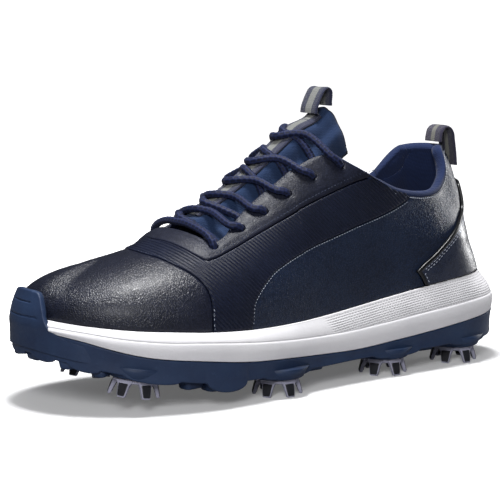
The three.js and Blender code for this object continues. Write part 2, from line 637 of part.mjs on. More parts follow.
// ---------------------------------------------------------------- receptacles and cleats
// Both are built with the cleat's seat at or near z = 0.
function receptacle() {
  const socket = cylinder(POST_R + GAP, POST_R + GAP, 3.6, 12).translate([0, 0, -0.05]);
  return cylinder(RECEPTACLE_R, RECEPTACLE_R, 4.6, 12).subtract(socket);
}

// Flange and post in section, [radius, z].
const CLEAT_PROFILE = [
  [0, -3.2], [6.6, -3.2], [CLEAT_R, -2.1], [CLEAT_R, 0], [POST_R, 0], [POST_R, 3.2], [0, 3.2],
];
const CLEAT_LEGS = 6;
// Corners of a leg, [radius, half width, z].
const LEG_CORNERS = [
  [8.2, 3, -1], [CLEAT_R - 0.2, 3, -1], [CLEAT_TIP_R, 2.1, -CLEAT_H], [11.2, 2.1, -CLEAT_H],
];
const LEG_TRIANGLES = [
  [0, 1, 2], [0, 2, 3], [4, 6, 5], [4, 7, 6], [0, 4, 5], [0, 5, 1],
  [1, 5, 6], [1, 6, 2], [2, 6, 7], [2, 7, 3], [3, 7, 4], [3, 4, 0],
];
function cleat() {
  const profile = CLEAT_PROFILE.map(([r, z]) => new THREE.Vector2(r, z));
  let result = toSolid(new THREE.LatheGeometry(profile, 12).rotateX(Math.PI / 2));
  for (let k = 0; k < CLEAT_LEGS; k++) {
    const angle = (k * 2 * Math.PI) / CLEAT_LEGS + Math.PI / CLEAT_LEGS;
    const [cos, sin] = [Math.cos(angle), Math.sin(angle)];
    const corners = [-1, 1].flatMap((side) => LEG_CORNERS.map(([r, halfWidth, z]) => {
      const across = halfWidth * side;
      return [cos * r - sin * across, sin * r + cos * across, z];
    }));
    result = result.add(solid(corners, LEG_TRIANGLES));
  }
  return result;
}

// ---------------------------------------------------------------- lace
// Eyelets from the toe end up; distances are from the ridge line in plan.
const EYE_X = [-54, -35, -19.2, -3.5, 13.1, 31];
const EYE_Y_LATERAL = [33.4, 29.5, 27.3, 25.9, 25.5, 26.5];
const EYE_Y_MEDIAL = [27.4, 27.6, 27, 25.9, 25.5, 26.5];
function eye(side, i, towardsThroat = 0) {
  const distance = (side < 0 ? EYE_Y_LATERAL : EYE_Y_MEDIAL)[i] - towardsThroat;
  return onUpper(EYE_X[i], ridgeY(EYE_X[i]) + side * distance);
}

// The lace turns over the edge of the eyelet and goes down through it.
const throughEye = (side, i) => [
  lift(eye(side, i, 5.5), 2.8), lift(eye(side, i, 1.6), 2.1),
  lift(eye(side, i), 0.2), lift(eye(side, i), -2.6),
];

// Under the eyestay to the throat's edge.
function underEyestay(side, i) {
  const x = EYE_X[i] + 4.5;
  const edge = onUpper(x, ridgeY(EYE_X[i]) + side * (throatHalfWidth(side, x) + 0.5));
  const out = lift(edge, -LEATHER - LACE_R - 0.45);
  const deep = lift(eye(side, i), -LEATHER - LACE_R - 0.6);
  return [out.clone().lerp(deep, 0.55), out];
}

// Across the throat to the next eyelet; the high strand passes over the other half's.
function crossing(side, i, high) {
  const x = (EYE_X[i] + EYE_X[i + 1]) / 2 + 0.5;
  const y = ridgeY(x);
  return [
    lift(onUpper(EYE_X[i] + 4.5, y + side * 9.5), high ? 1.8 : 0.2),
    lift(onUpper(x, y), high ? 5 : 0.5),
    lift(onUpper(EYE_X[i + 1] - 3.5, y - side * 10.5), high ? 2.4 : 0.6),
  ];
}

// Each half starts from the bottom bar and crosses the throat five times.
function laceHalf(start) {
  const last = EYE_X.length - 1;
  const points = [];
  let side = start;
  for (let i = 0; i < last; i++) {
    const high = (start > 0) === (i % 2 === 0);
    points.push(...throughEye(side, i), ...underEyestay(side, i), ...crossing(side, i, high));
    side = -side;
  }
  points.push(...throughEye(side, last), lift(eye(side, last), -6.5));
  return points;
}

// The bar across the toe end of the throat, [x from the first eyelet, y from the ridge].
const LACE_BAR = [[-1.2, 12], [-2, 0], [-1.2, -12]];
const laceCurve = new THREE.CatmullRomCurve3([
  ...laceHalf(1).reverse(),
  ...LACE_BAR.map(([dx, dy]) => lift(onUpper(EYE_X[0] + dx, ridgeY(EYE_X[0]) + dy), 2.6)),
  ...laceHalf(-1),
], false, 'centripetal');

function laceTube(radius) {
  const sides = 5;
  const shape = new THREE.Shape(Array.from({ length: sides }, (_, k) => {
    const angle = (2 * Math.PI * k) / sides;
    return new THREE.Vector2(Math.cos(angle) * radius, Math.sin(angle) * radius);
  }));
  return toSolid(new THREE.ExtrudeGeometry(
    shape, { steps: 150, bevelEnabled: false, extrudePath: laceCurve }));
}
const laceRoom = laceTube(LACE_R + 0.45);

// ---------------------------------------------------------------- upper panels
const bottomTrim = below(floor(0.4), 20);
const outer = shell(-LEATHER, 0).subtract(collarCut.add(throatCut())).subtract(bottomTrim);
const rear = outer.intersect(rearRegion()).subtract(eyeRegion(GAP));

function eyestay() {
  const punch = cylinder(LACE_R + 0.75, LACE_R + 0.75, 8, 10);
  const holes = [-1, 1].flatMap((side) => EYE_X.map((_, i) => {
    const spot = eye(side, i);
    return place(punch, lift(spot, -4).toArray(), spot.normal.toArray());
  }));
  return outer.intersect(eyeRegion()).subtract(toeRegion(GAP))
    .subtract(holes.reduce((all, hole) => all.add(hole))).subtract(laceRoom);
}
const ribbedSaddle = () => outer.subtract(toeRegion(GAP)).subtract(eyeRegion(GAP))
  .subtract(rearRegion(GAP)).subtract(laceRoom);

// The rear quarters meet on the heel's centre line.
const QUARTER_EDGE_Y = 0.2;
const quarterLateral = () => (
  rear.intersect(block(-100, 220, -CUT_SIDE, -QUARTER_EDGE_Y, 0, CUT_TOP)));
const quarterMedial = () => (
  rear.intersect(block(-100, 220, QUARTER_EDGE_Y, CUT_SIDE, 0, CUT_TOP)));

// Heel cover: the overlay round the back of the heel, [x, z].
const HEEL_COVER = [
  [84.2, 40], [84.2, 48.2], [80.6, 55.2], [87.2, 59.5], [96.6, 66], [106, 71],
  [115.9, 77], [124, 84], [131, 94], [150, 97], [190, 97], [190, 40],
];
const heelCover = () => (
  shell(GAP, 1.5).intersect(slabXZ(HEEL_COVER)).subtract(below(height(RIM_Z, 1.5), 20)));

// ---------------------------------------------------------------- inside the upper
const INSIDE = -LEATHER - GAP; // outermost surface available inside the panels
const innerOpenings = collarCut.add(throatCut(7.5));

const PUFF_REGION = [[-190, CUT_FLOOR], [-98, CUT_FLOOR], [-92, 110], [-190, 110]];
const toePuff = () => (
  shell(INSIDE - PUFF, INSIDE).intersect(slabXZ(PUFF_REGION)).subtract(bottomTrim));

const stiffenerRegion = (grow) => slabXZ([
  [76 - grow, CUT_FLOOR], [78 - grow, 62 + grow], [96, 80 + grow], [118, 92 + grow],
  [190, 96 + grow], [190, CUT_FLOOR],
]);
const heelStiffener = () => (
  shell(INSIDE - STIFFENER, INSIDE).intersect(stiffenerRegion(0)).subtract(bottomTrim));

function vampLining() {
  const outside = INSIDE - PUFF - GAP;
  return shell(outside - LINING, outside).intersect(lengthBand(-190, 8))
    .subtract(innerOpenings).subtract(bottomTrim).subtract(laceRoom);
}

// Thin towards the toe, padded round the ankle and heel.
function collarLining() {
  const thin = shell(INSIDE - COLLAR_LINING, INSIDE).intersect(lengthBand(8.4, 52));
  const padded = shell(INSIDE - COLLAR_PAD, INSIDE).intersect(lengthBand(50, 220));
  const edge = (s) => footbedInset(s) - GAP;
  const footbedRoom = ringSolid([level(floor(-4), edge), level(floor(11.5), edge)]);
  const stiffenerRoom = shell(INSIDE - STIFFENER - GAP, -LEATHER + 0.2, SKIRT + 6)
    .intersect(stiffenerRegion(GAP));
  return thin.add(padded).subtract(footbedRoom).subtract(innerOpenings)
    .subtract(bottomTrim).subtract(stiffenerRoom).subtract(laceRoom);
}

// ---------------------------------------------------------------- tongue
const TONGUE_X = [-51, -45, -38, -28, -18, -8, 2, 12, 22, 29, 36];
const TONGUE_HALF_WIDTH = [
  [-51, -45, -38, -27, -10, 10, 25, 36],
  [26, 31.5, 30, 27.2, 26, 25.5, 26, 25],
];
const TONGUE_ACROSS = [-1, -0.82, -0.6, -0.36, 0, 0.36, 0.6, 0.82, 1]; // shares of the half width
const TONGUE_OUTER = { depth: 3, sink: 4.4 }; // depth below the upper; extra depth off the middle
const TONGUE_INNER = { depth: 8.6, sink: 3.2 };
const TONGUE_EDGE = 1.2; // each face closes in by this at the side edges

// Section across the tongue, outer row then inner row reversed.
function tongueSection(x) {
  const outerRow = [];
  const innerRow = [];
  for (const share of TONGUE_ACROSS) {
    const y = share * lookup(TONGUE_HALF_WIDTH, x);
    const off = Math.abs(y);
    // Near the heel end the sides sweep towards the heel.
    const sweptX = x + Math.max(0, (x - 8) / 28) * 7.5 * Math.max(0, (off - 6) / 19) ** 1.2;
    const sunk = smoothstep(off, 8, 16);
    const edge = Math.abs(share) === 1 ? TONGUE_EDGE : 0;
    const spot = onUpper(sweptX, ridgeY(x) + y);
    outerRow.push(lift(spot, -TONGUE_OUTER.depth - TONGUE_OUTER.sink * sunk - edge).toArray());
    innerRow.push(lift(spot, -TONGUE_INNER.depth - TONGUE_INNER.sink * sunk + edge).toArray());
  }
  return [...outerRow, ...innerRow.reverse()];
}
const tongueBody = sweep(TONGUE_X, tongueSection, stripCap);

// The tongue is parted into a toe-side piece and a flap, [x, z].
const TONGUE_REGION = [[27, 60], [27, 118], [22.6, 142], [17, 200], [-120, 200], [-120, 60]];
const FLAP_REGION = [[30.5, 60], [30.5, 118], [31.5, 150], [33.5, 200], [120, 200], [120, 60]];
const tonguePart = (region) => tongueBody.intersect(slabXZ(region)).subtract(laceRoom);

const WEBBING_X = [-46, -38, -30, -22, -14, -6, 2, 10, 18, 22];
const WEBBING = { halfWidth: 7.2, outerDepth: 1.45, innerDepth: 2.65 };
function tongueWebbing() {
  const row = (x, depth) => [-1, 0, 1].map((side) => (
    lift(onUpper(x, ridgeY(x) + side * WEBBING.halfWidth), -depth).toArray()));
  const section = (x) => [...row(x, WEBBING.outerDepth), ...row(x, WEBBING.innerDepth).reverse()];
  return sweep(WEBBING_X, section, stripCap).subtract(laceRoom)
    .intersect(lengthBand(-60, 21.5, 60));
}

// Pull loops: a strip of webbing along an [x, z] centre line, with a width in Y.
const LOOP_THICKNESS = 1.4;
const TONGUE_LOOP = [
  [28.4, 147.6], [28.9, 150.6], [30.6, 154.6], [32.6, 158.2], [34.6, 160.8],
  [36.6, 161.5], [38.2, 160.2], [38.6, 157.4], [38.4, 154.4], [38.6, 151.8],
];
const HEEL_LOOP = [
  [131.2, 113.2], [130.6, 121], [129.6, 128], [128.6, 133], [126, 136],
  [123, 136.4], [120.6, 134.6], [119.4, 131], [119, 127.4],
];
function pullLoop(line, width) {
  const left = shifted(line, LOOP_THICKNESS / 2);
  const right = shifted(line, -LOOP_THICKNESS / 2);
  return slabXZ([...left, ...right.reverse()], -width / 2, width / 2);
}

// ---------------------------------------------------------------- materials
const material = (settings) => new THREE.MeshStandardMaterial(settings);
const leather = material({ color: '#15182a', roughness: 0.42 });
const gloss = material({ color: '#131a2c', roughness: 0.25 });
const rubber = material({ color: '#2b3650', roughness: 0.6 });
const foam = material({ color: '#eeeef0', roughness: 0.55 });
const textile = material({ color: '#22335c', roughness: 0.9 });
const laceCord = material({ color: '#1c2447', roughness: 0.8 });
const web = material({ color: '#20223c', roughness: 0.85 });
const stiff = material({ color: '#d8d2c4', roughness: 0.8 });
const board = material({ color: '#c9b998', roughness: 0.85 });
const shankGrey = material({ color: '#3b3d40', roughness: 0.5 });
const cleatGrey = material({ color: '#8f8fa0', roughness: 0.4 });
const insert = material({ color: '#202226', roughness: 0.5 });

// ---------------------------------------------------------------- assembly
const root = new THREE.Group();
root.name = 'golf_shoe';
root.position.set(...SHIFT);

// Adds the largest connected part; cutting can leave loose slivers.
function add(name, item, surface) {
  const parts = item.simplify(0.05).decompose();
  const { vertProperties, triVerts } = parts.sort((a, b) => b.volume() - a.volume())[0].getMesh();
  const geometry = new THREE.BufferGeometry();
  geometry.setAttribute('position', new THREE.BufferAttribute(vertProperties, 3));
  geometry.setIndex(new THREE.BufferAttribute(triVerts, 1));
  geometry.computeVertexNormals();
  const mesh = new THREE.Mesh(geometry, surface);
  mesh.name = name;
  root.add(mesh);
}

add('outsole', outsole(), rubber);
add('midsole', midsole(), foam);
add('shank', shank(), shankGrey);
add('insole_board', insoleBoard(), board);
add('sockliner', sockliner(), textile);
CLEATS.forEach(({ x, y, z, axis }, i) => {
  const seat = [x + axis[0] * GAP, y, z + axis[2] * GAP];
  add(`receptacle_${i + 1}`, place(receptacle(), seat, axis), insert);
});
CLEATS.forEach(({ x, y, z, axis }, i) => {
  add(`cleat_${i + 1}`, place(cleat(), [x, y, z], axis), cleatGrey);
});
add('toe_cap', outer.intersect(toeRegion()), leather);
add('eyestay', eyestay(), leather);
add('ribbed_saddle', ribbedSaddle(), leather);
add('quarter_lateral', quarterLateral(), leather);
add('quarter_medial', quarterMedial(), leather);
add('heel_cover', heelCover(), gloss);
add('toe_puff', toePuff(), stiff);
add('heel_stiffener', heelStiffener(), stiff);
add('vamp_lining', vampLining(), textile);
add('collar_lining', collarLining(), textile);
add('tongue', tonguePart(TONGUE_REGION), textile);
add('tongue_flap', tonguePart(FLAP_REGION), textile);
add('tongue_webbing', tongueWebbing(), web);
add('tongue_pull_loop', pullLoop(TONGUE_LOOP, 16), web);
add('heel_pull_loop', pullLoop(HEEL_LOOP, 15).subtract(body(GAP)), web);
add('lace', laceTube(LACE_R), laceCord);

export default root;
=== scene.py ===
import json
import math
import bpy
import bmesh
import numpy as np
from mathutils import Matrix, Vector

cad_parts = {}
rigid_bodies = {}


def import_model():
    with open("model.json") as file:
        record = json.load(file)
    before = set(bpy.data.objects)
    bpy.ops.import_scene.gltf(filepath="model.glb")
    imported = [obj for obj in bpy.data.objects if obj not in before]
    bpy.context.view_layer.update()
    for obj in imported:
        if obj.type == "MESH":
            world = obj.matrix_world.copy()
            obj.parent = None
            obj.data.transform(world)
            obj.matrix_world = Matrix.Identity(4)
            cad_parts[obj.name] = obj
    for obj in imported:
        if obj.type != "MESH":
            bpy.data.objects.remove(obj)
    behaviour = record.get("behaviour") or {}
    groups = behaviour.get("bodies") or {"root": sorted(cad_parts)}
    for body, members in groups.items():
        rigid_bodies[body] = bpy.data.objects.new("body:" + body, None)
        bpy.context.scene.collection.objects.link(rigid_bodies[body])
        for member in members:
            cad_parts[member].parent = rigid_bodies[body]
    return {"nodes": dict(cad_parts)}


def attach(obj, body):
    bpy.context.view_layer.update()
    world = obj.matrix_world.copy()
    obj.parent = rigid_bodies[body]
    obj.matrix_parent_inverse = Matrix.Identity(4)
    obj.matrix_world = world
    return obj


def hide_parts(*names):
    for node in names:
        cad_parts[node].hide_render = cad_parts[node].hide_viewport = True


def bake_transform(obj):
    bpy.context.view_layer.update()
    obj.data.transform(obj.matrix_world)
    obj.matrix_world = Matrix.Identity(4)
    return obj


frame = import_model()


for _o in [o for o in bpy.data.objects if o.name in ("Cube", "Light", "Camera")]:
    bpy.data.objects.remove(_o)


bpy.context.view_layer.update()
MM = 0.001
SHIFT = np.array([0.297, 2.468, 0.0])

# ------------------------------------------------------------------ the shoe's form, in mm
OUT = np.array([
    (150, 0), (147, -17), (138, -30), (121, -38.5), (98, -42), (70, -43), (40, -44.5), (10, -47.5), (-20, -52.5), (-48, -56.5),
    (-76, -56.5), (-102, -50), (-124, -38), (-141, -20), (-150, 2), (-149, 22), (-138, 38), (-118, 48), (-92, 52), (-64, 51),
    (-36, 46), (-8, 41), (20, 37.5), (48, 36.5), (76, 37.5), (102, 38), (125, 34.5), (142, 20)], float)
NS = len(OUT)
ZF = ([-150, -137, -124, -108, -94, -72, -42, -17, 15, 30, 58, 84, 103, 130, 150], [48.5, 46.5, 45, 43.4, 42.4, 40.6, 38.9, 38.6, 40.2, 41.8, 45.2, 48.2, 50, 51.5, 52.2])
ZM = ([-150, -132, -119, -99, -75, -46, -21, 0, 20, 54, 83, 120, 150], [46.0, 43.0, 40.5, 37.8, 36.0, 33.1, 31.0, 30.0, 29.8, 31.8, 34.5, 37.5, 40.0])
ZB = ([-150, -134, -123, -114, -104, -95, -81, -46, -22, 10, 26, 63, 102, 130, 150], [43, 38.8, 35, 32.3, 30, 28.6, 27, 22.7, 21, 19.3, 18.8, 20.9, 24.6, 27.5, 31])
ZN = ([-152, -137, -120, -100, -80, -57, -18, 11, 32, 76, 103, 140, 151], [30.5, 26.2, 22.0, 18.2, 15.2, 13.2, 12.4, 12.4, 12.9, 12.9, 13.4, 14.6, 17.0])
XR = ([-150, -141, -124, -102, -76, -48, -20, 10, 40, 70, 98, 121, 138, 150], [-100, -99, -95.5, -86, -69.5, -46.5, -20, 9.5, 37, 60, 76, 84.5, 87.5, 88.5])
YR = ([-100, -70, -40, 0, 40, 90], [7, 5, 3, 1, 0, 0])
ZR = ([-100, -85, -70, -60, -50, -40, -27, -10, 7, 24, 40, 60, 90], [75.2, 79.4, 84.2, 88, 92, 96.5, 104, 115.5, 129, 143, 157, 172, 190])
INS = ([-150, -100, 0, 100, 150], [5.5, 6, 6, 7, 8.5])
EXA = ([-150, -100, -60, -20, 40, 150], [0.72, 0.82, 0.9, 0.95, 0.97, 1])
EXB = ([-150, -132, -100, -60, -20, 40, 150], [0.52, 0.68, 0.88, 0.95, 1, 1, 1])
HW = ([100, 112, 121, 130, 138, 146, 150], [0, 0.12, 0.32, 0.6, 0.82, 0.96, 1])
HK = ([50, 60, 72, 84, 93, 104, 116, 127, 145], [0, 0.06, 0.142, 0.145, 0.096, 0.08, 0.112, 0.2, 0.28])
ZT = ([0, 1, 1.5, 2, 2.5, 3, 3.5, 4, 4.5, 5, 5.5, 6, 6.4, 6.9], [126.5, 126, 123.5, 117.5, 111, 107, 104.3, 103, 103.6, 106.5, 113, 121, 128, 135])
PN = ([0, 1, 2, 3, 4, 5, 6, 7], [0, 0.13, 0.21, 0.24, 0.13, 0.06, 0.02, 0])
MEX = ([-150, -130, -105, -86, -68, -58, -20, 40, 90, 150], [1, 1.15, 1.5, 1.45, 1.02, 0.92, 0.82, 0.8, 0.9, 1])
MEB = ([-150, -125, -100, -86, -68, -58, 150], [0, 0.2, 0.5, 0.45, 0.08, 0, 0])
MBU = ([-150, -90, -50, -10, 30, 50, 75, 100, 150], [0, 0, 0.08, 0.2, 0.25, 0.2, 0.1, 0, 0])
FLOOR = 8.0
CLEATS = [(-104, -32, 17.6, 8.0), (-20, -39.5, 9.4, 0), (61, -28, 9.4, 0), (117, -23.5, 9.4, 0), (-99, 30, 17.0, 8.0), (-36, 33, 9.4, 0), (61, 22, 9.4, 0), (116, 22.5, 9.4, 0)]


def hs(table, x):
    xs, ys = np.asarray(table[0], float), np.asarray(table[1], float)
    d, h = np.diff(ys) / np.diff(xs), np.diff(xs)
    m = np.empty(len(xs))
    m[0], m[-1] = d[0], d[-1]
    m[1:-1] = (d[:-1] * h[1:] + d[1:] * h[:-1]) / (h[:-1] + h[1:])
    x = np.clip(np.asarray(x, float), xs[0], xs[-1])
    i = np.clip(np.searchsorted(xs, x, side="right") - 1, 0, len(xs) - 2)
    t = (x - xs[i]) / h[i]
    return ys[i] * (1 + 2 * t) * (1 - t) ** 2 + m[i] * h[i] * t * (1 - t) ** 2 + ys[i + 1] * t * t * (3 - 2 * t) + m[i + 1] * h[i] * t * t * (t - 1)


def outline(s):
    s = np.asarray(s, float)
    i = np.floor(s).astype(int)
    t = (s - i)[..., None]
    p0, p1, p2, p3 = (OUT[(i + k) % NS] for k in (-1, 0, 1, 2))
    return 0.5 * (2 * p1 + (-p0 + p2) * t + (2 * p0 - 5 * p1 + 4 * p2 - p3) * t ** 2 + (-p0 + 3 * p1 - 3 * p2 + p3) * t ** 3)


def outward(s):
    d = outline(np.asarray(s) + 1e-3) - outline(np.asarray(s) - 1e-3)
    n = np.stack([-d[..., 1], d[..., 0]], -1)
    return n / np.linalg.norm(n, axis=-1, keepdims=True)


def inset(s, d):
    return outline(s) - outward(s) * np.asarray(d, float)[..., None]


_ss = np.linspace(-1, 1, 20001)
S_HEEL = float(_ss[np.argmax(outline(_ss)[:, 0])])
_ss = np.linspace(13, 15.5, 20001)
S_TOE = float(_ss[np.argmin(outline(_ss)[:, 0])])
_la = np.linspace(S_HEEL, S_TOE, 6001)
_lx = outline(_la)[:, 0]
_ma = np.linspace(S_TOE, NS + S_HEEL, 6001)
_mx = outline(_ma)[:, 0]


def mate(s):
    """The medial station with the same outline x as a lateral one."""
    return np.interp(outline(s)[..., 0], _mx, _ma)


def slope(x):
    return hs(ZR, x + 0.5) - hs(ZR, x - 0.5)


def S(s, t):
    s, t = np.broadcast_arrays(np.asarray(s, float), np.asarray(t, float))
    o = outline(s)
    xo = o[..., 0]
    F = o - outward(s) * hs(INS, xo)[..., None]
    zf, xr = hs(ZF, F[..., 0]), hs(XR, xo)
    yr, zr, m = hs(YR, xr), hs(ZR, xr), slope(xr)
    sm = np.mod(s, NS)
    med = sm > S_TOE
    C = np.maximum(np.cos(np.pi / 2 * t), 0) ** (hs(EXA, xo) * np.where(med, hs(MEX, xo), 1.0)) * (1 + np.where(med, hs(MBU, xo), 0) * np.sin(np.pi * t))
    Z = np.maximum(np.sin(np.pi / 2 * t), 0) ** (hs(EXB, xo) + np.where(med, hs(MEB, xo), 0))
    z0 = zf + (zr - zf) * Z
    hc = np.where(xo < 100, 0, hs(HW, xo) * hs(HK, z0))
    sa = np.minimum(sm, NS - sm)
    zt = hs(ZT, np.minimum(sa, 6.4))
    q = np.clip((z0 - 72) / (zt - 72), 0, 1.15)
    q = q * q * (3 - 2 * np.minimum(q, 1))
    hc = hc + hs(PN, np.minimum(sa, 7)) * q
    k = C * (1 - hc)
    x = xr + (F[..., 0] - xr) * k
    y = yr + (F[..., 1] - yr) * k
    z = zf * (1 - Z) + Z * (zr + m * (x - xr) * (xo < 0))
    return np.stack([x, y, z], -1)


def S_normal(s, t):
    s, t = np.broadcast_arrays(np.asarray(s, float), np.asarray(t, float))
    tc = np.clip(t, 0.004, 0.985)
    a = S(s + 0.02, tc) - S(s - 0.02, tc)
    b = S(s, tc + 0.004) - S(s, tc - 0.004)
    n = np.cross(a, b)
    n /= np.maximum(np.linalg.norm(n, axis=-1, keepdims=True), 1e-9)
    o = outward(s)
    flip = (n[..., 0] * o[..., 0] + n[..., 1] * o[..., 1] + 0.4 * n[..., 2]) < 0
    n = np.where(flip[..., None], -n, n)
    xr = hs(XR, outline(s)[..., 0])
    r = np.stack([-slope(xr), 0 * xr, np.ones_like(xr)], -1)
    r /= np.linalg.norm(r, axis=-1, keepdims=True)
    w = np.clip((t - 0.93) / 0.07, 0, 1)[..., None]
    n = n * (1 - w) + r * w
    return n / np.linalg.norm(n, axis=-1, keepdims=True)


def above(x, y):
    """Station, height share, point and normal of the upper's surface over plan points x, y (vamp and instep)."""
    x, y = np.broadcast_arrays(np.asarray(x, float), np.asarray(y, float))
    side = y >= hs(YR, x)
    want = np.abs(y - hs(YR, x))
    lo_s, hi_s = np.where(side, NS + S_HEEL, S_HEEL), np.full(x.shape, S_TOE)

    def find_t(s):
        lo, hi = np.zeros(x.shape), np.ones(x.shape)
        for _ in range(16):
            t = (lo + hi) / 2
            p = S(s, t)
            out = np.abs(p[..., 1] - hs(YR, p[..., 0])) > want
            lo, hi = np.where(out, t, lo), np.where(out, hi, t)
        return (lo + hi) / 2
    for _ in range(17):
        c = (lo_s + hi_s) / 2
        p = S(c, find_t(c))
        big = p[..., 0] > x
        lo_s, hi_s = np.where(big, c, lo_s), np.where(big, hi_s, c)
    s = (lo_s + hi_s) / 2
    t = find_t(s)
    return s, t, S(s, t), S_normal(s, t)


def t_at_height(s, z):
    s, z = np.broadcast_arrays(np.asarray(s, float), np.asarray(z, float))
    lo, hi = np.zeros(s.shape), np.ones(s.shape)
    for _ in range(26):
        t = (lo + hi) / 2
        low = S(s, t)[..., 2] < z
        lo, hi = np.where(low, t, lo), np.where(low, hi, t)
    return (lo + hi) / 2


def topline(s):
    sm = np.mod(s, NS)
    return t_at_height(s, hs(ZT, np.minimum(sm, NS - sm)))


# ------------------------------------------------------------------ meshes
def make(name, V, faces, mats, smooth=True, mat_index=None):
    """V in mm in the design frame; faces is a list of (n, 3) or (n, 4) index arrays."""
    me = bpy.data.meshes.new(name)
    V = (np.asarray(V, float).reshape(-1, 3) + SHIFT) * MM
    faces = [np.asarray(f, int) for f in faces if len(f)]
    loops = np.concatenate([f.ravel() for f in faces])
    totals = np.concatenate([np.full(len(f), f.shape[1]) for f in faces])
    starts = np.concatenate([[0], np.cumsum(totals)[:-1]])
    me.vertices.add(len(V))
    me.vertices.foreach_set("co", V.astype(np.float32).ravel())
    me.loops.add(len(loops))
    me.loops.foreach_set("vertex_index", loops.astype(np.int32))
    me.polygons.add(len(totals))
    me.polygons.foreach_set("loop_start", starts.astype(np.int32))
    me.polygons.foreach_set("loop_total", totals.astype(np.int32))
    for m in mats if isinstance(mats, (list, tuple)) else [mats]:
        me.materials.append(m)
    if mat_index is not None:
        me.polygons.foreach_set("material_index", np.asarray(mat_index, np.int32))
    me.polygons.foreach_set("use_smooth", np.full(len(totals), smooth))
    me.update(calc_edges=True)
    me.validate()
    ob = bpy.data.objects.new(name, me)
    bpy.context.scene.collection.objects.link(ob)
    return ob


def tidy(ob, dist=2e-6, outward_fix=True):
    """Welds doubles, drops loose and degenerate bits, points the faces outwards."""
    bm = bmesh.new()
    bm.from_mesh(ob.data)
    bmesh.ops.remove_doubles(bm, verts=bm.verts, dist=dist)
    bmesh.ops.dissolve_degenerate(bm, edges=bm.edges, dist=dist)
    loose = [v for v in bm.verts if not v.link_faces]
    if loose:
        bmesh.ops.delete(bm, geom=loose, context="VERTS")
    if outward_fix:
        bmesh.ops.recalc_face_normals(bm, faces=bm.faces)
    bm.to_mesh(ob.data)
    bm.free()
    ob.data.update()
    return ob


def attr(ob, name, values):
    a = ob.data.attributes.new(name, "FLOAT", "POINT")
    a.data.foreach_set("value", np.asarray(values, np.float32).ravel())


def grid_faces(R, C, base=0, close_c=False, flip=False):
    r, c = np.meshgrid(np.arange(R - 1), np.arange(C if close_c else C - 1), indexing="ij")
    r, c = r.ravel(), c.ravel()
    n = (c + 1) % C
    f = np.stack([base + r * C + c, base + r * C + n, base + (r + 1) * C + n, base + (r + 1) * C + c], 1)
    return f[:, ::-1] if flip else f


def closed_shell(name, top, bottom, mats, **kw):
    """Two matching grids (R, C, 3) joined round their edges."""
    R, C = top.shape[:2]
    n = R * C
    f = [grid_faces(R, C), grid_faces(R, C, n, flip=True)]
    idx = np.arange(n).reshape(R, C)
    ring = np.concatenate([idx[0, :], idx[1:, -1], idx[-1, -2::-1], idx[-2:0:-1, 0]])
    nxt = np.roll(ring, -1)
    f.append(np.stack([nxt, ring, ring + n, nxt + n], 1))
    ob = make(name, np.concatenate([top.reshape(-1, 3), bottom.reshape(-1, 3)]), f, mats, **kw)
    return ob


def grid_edge_distance(P, edges="lrbt"):
    """Distance along the grid lines to the nearest of the named edges: l, r first and last column, b, t first and last row."""
    R, C = P.shape[:2]
    dc = np.concatenate([np.zeros((R, 1)), np.cumsum(np.linalg.norm(np.diff(P, axis=1), axis=-1), 1)], 1)
    dr = np.concatenate([np.zeros((1, C)), np.cumsum(np.linalg.norm(np.diff(P, axis=0), axis=-1), 0)], 0)
    d = np.full((R, C), 1e9)
    if "l" in edges: d = np.minimum(d, dc)
    if "r" in edges: d = np.minimum(d, dc[:, -1:] - dc)
    if "b" in edges: d = np.minimum(d, dr)
    if "t" in edges: d = np.minimum(d, dr[-1:] - dr)
    return d


def smooth01(x):
    x = np.clip(x, 0, 1)
    return x * x * (3 - 2 * x)


def panel(name, s, t, level, thick, mats, edges="lrbt", roll=0.7, roll_w=1.3, extra=None, weld=2e-6):
    """A leather panel on the upper's surface: level above it, thickness inwards, with softly rolled edges."""
    P, N = S(s, t), S_normal(s, t)
    d = grid_edge_distance(P, edges)
    h = np.full(d.shape, float(level)) if np.isscalar(level) else level.copy()
    r = np.clip(d / roll_w, 0, 1)
    h = h - roll * (1 - np.sqrt(np.maximum(1 - (1 - r) ** 2, 0)))
    if extra is not None:
        h = h + extra * smooth01(d / 0.9)
    top, bottom = P + N * h[..., None], P + N * (np.minimum(h, level) * 0 + (np.mean(level) - thick))[..., None]
    ob = closed_shell(name, top, bottom, mats)
    attr(ob, "edge", np.concatenate([d.ravel(), np.zeros(d.size)]))
    return tidy(ob, weld), P, N, d


def resample(pts, n, power=None):
    pts = np.asarray(pts, float)
    P = S(pts[:, 0], pts[:, 1])
    L = np.concatenate([[0], np.cumsum(np.linalg.norm(np.diff(P, axis=0), axis=-1))])
    q = np.linspace(0, L[-1], n)
    return np.stack([np.interp(q, L, pts[:, 0]), np.interp(q, L, pts[:, 1])], 1)


def smooth_curve(pts, n=400):
    """Centripetal-like smooth curve through (s, t) points, by Hermite in chord length."""
    pts = np.asarray(pts, float)
    P = S(pts[:, 0], pts[:, 1])
    L = np.concatenate([[0], np.cumsum(np.linalg.norm(np.diff(P, axis=0), axis=-1))])
    q = np.linspace(0, L[-1], n)
    return np.stack([hs((L, pts[:, 0]), q), hs((L, pts[:, 1]), q)], 1)


# ------------------------------------------------------------------ node helpers
def new_mat(name):
    m = bpy.data.materials.new(name)
    m.use_nodes = True
    nt = m.node_tree
    for n in list(nt.nodes):
        nt.nodes.remove(n)
    out = nt.nodes.new("ShaderNodeOutputMaterial")
    b = nt.nodes.new("ShaderNodeBsdfPrincipled")
    nt.links.new(b.outputs[0], out.inputs[0])
    return m, nt, b


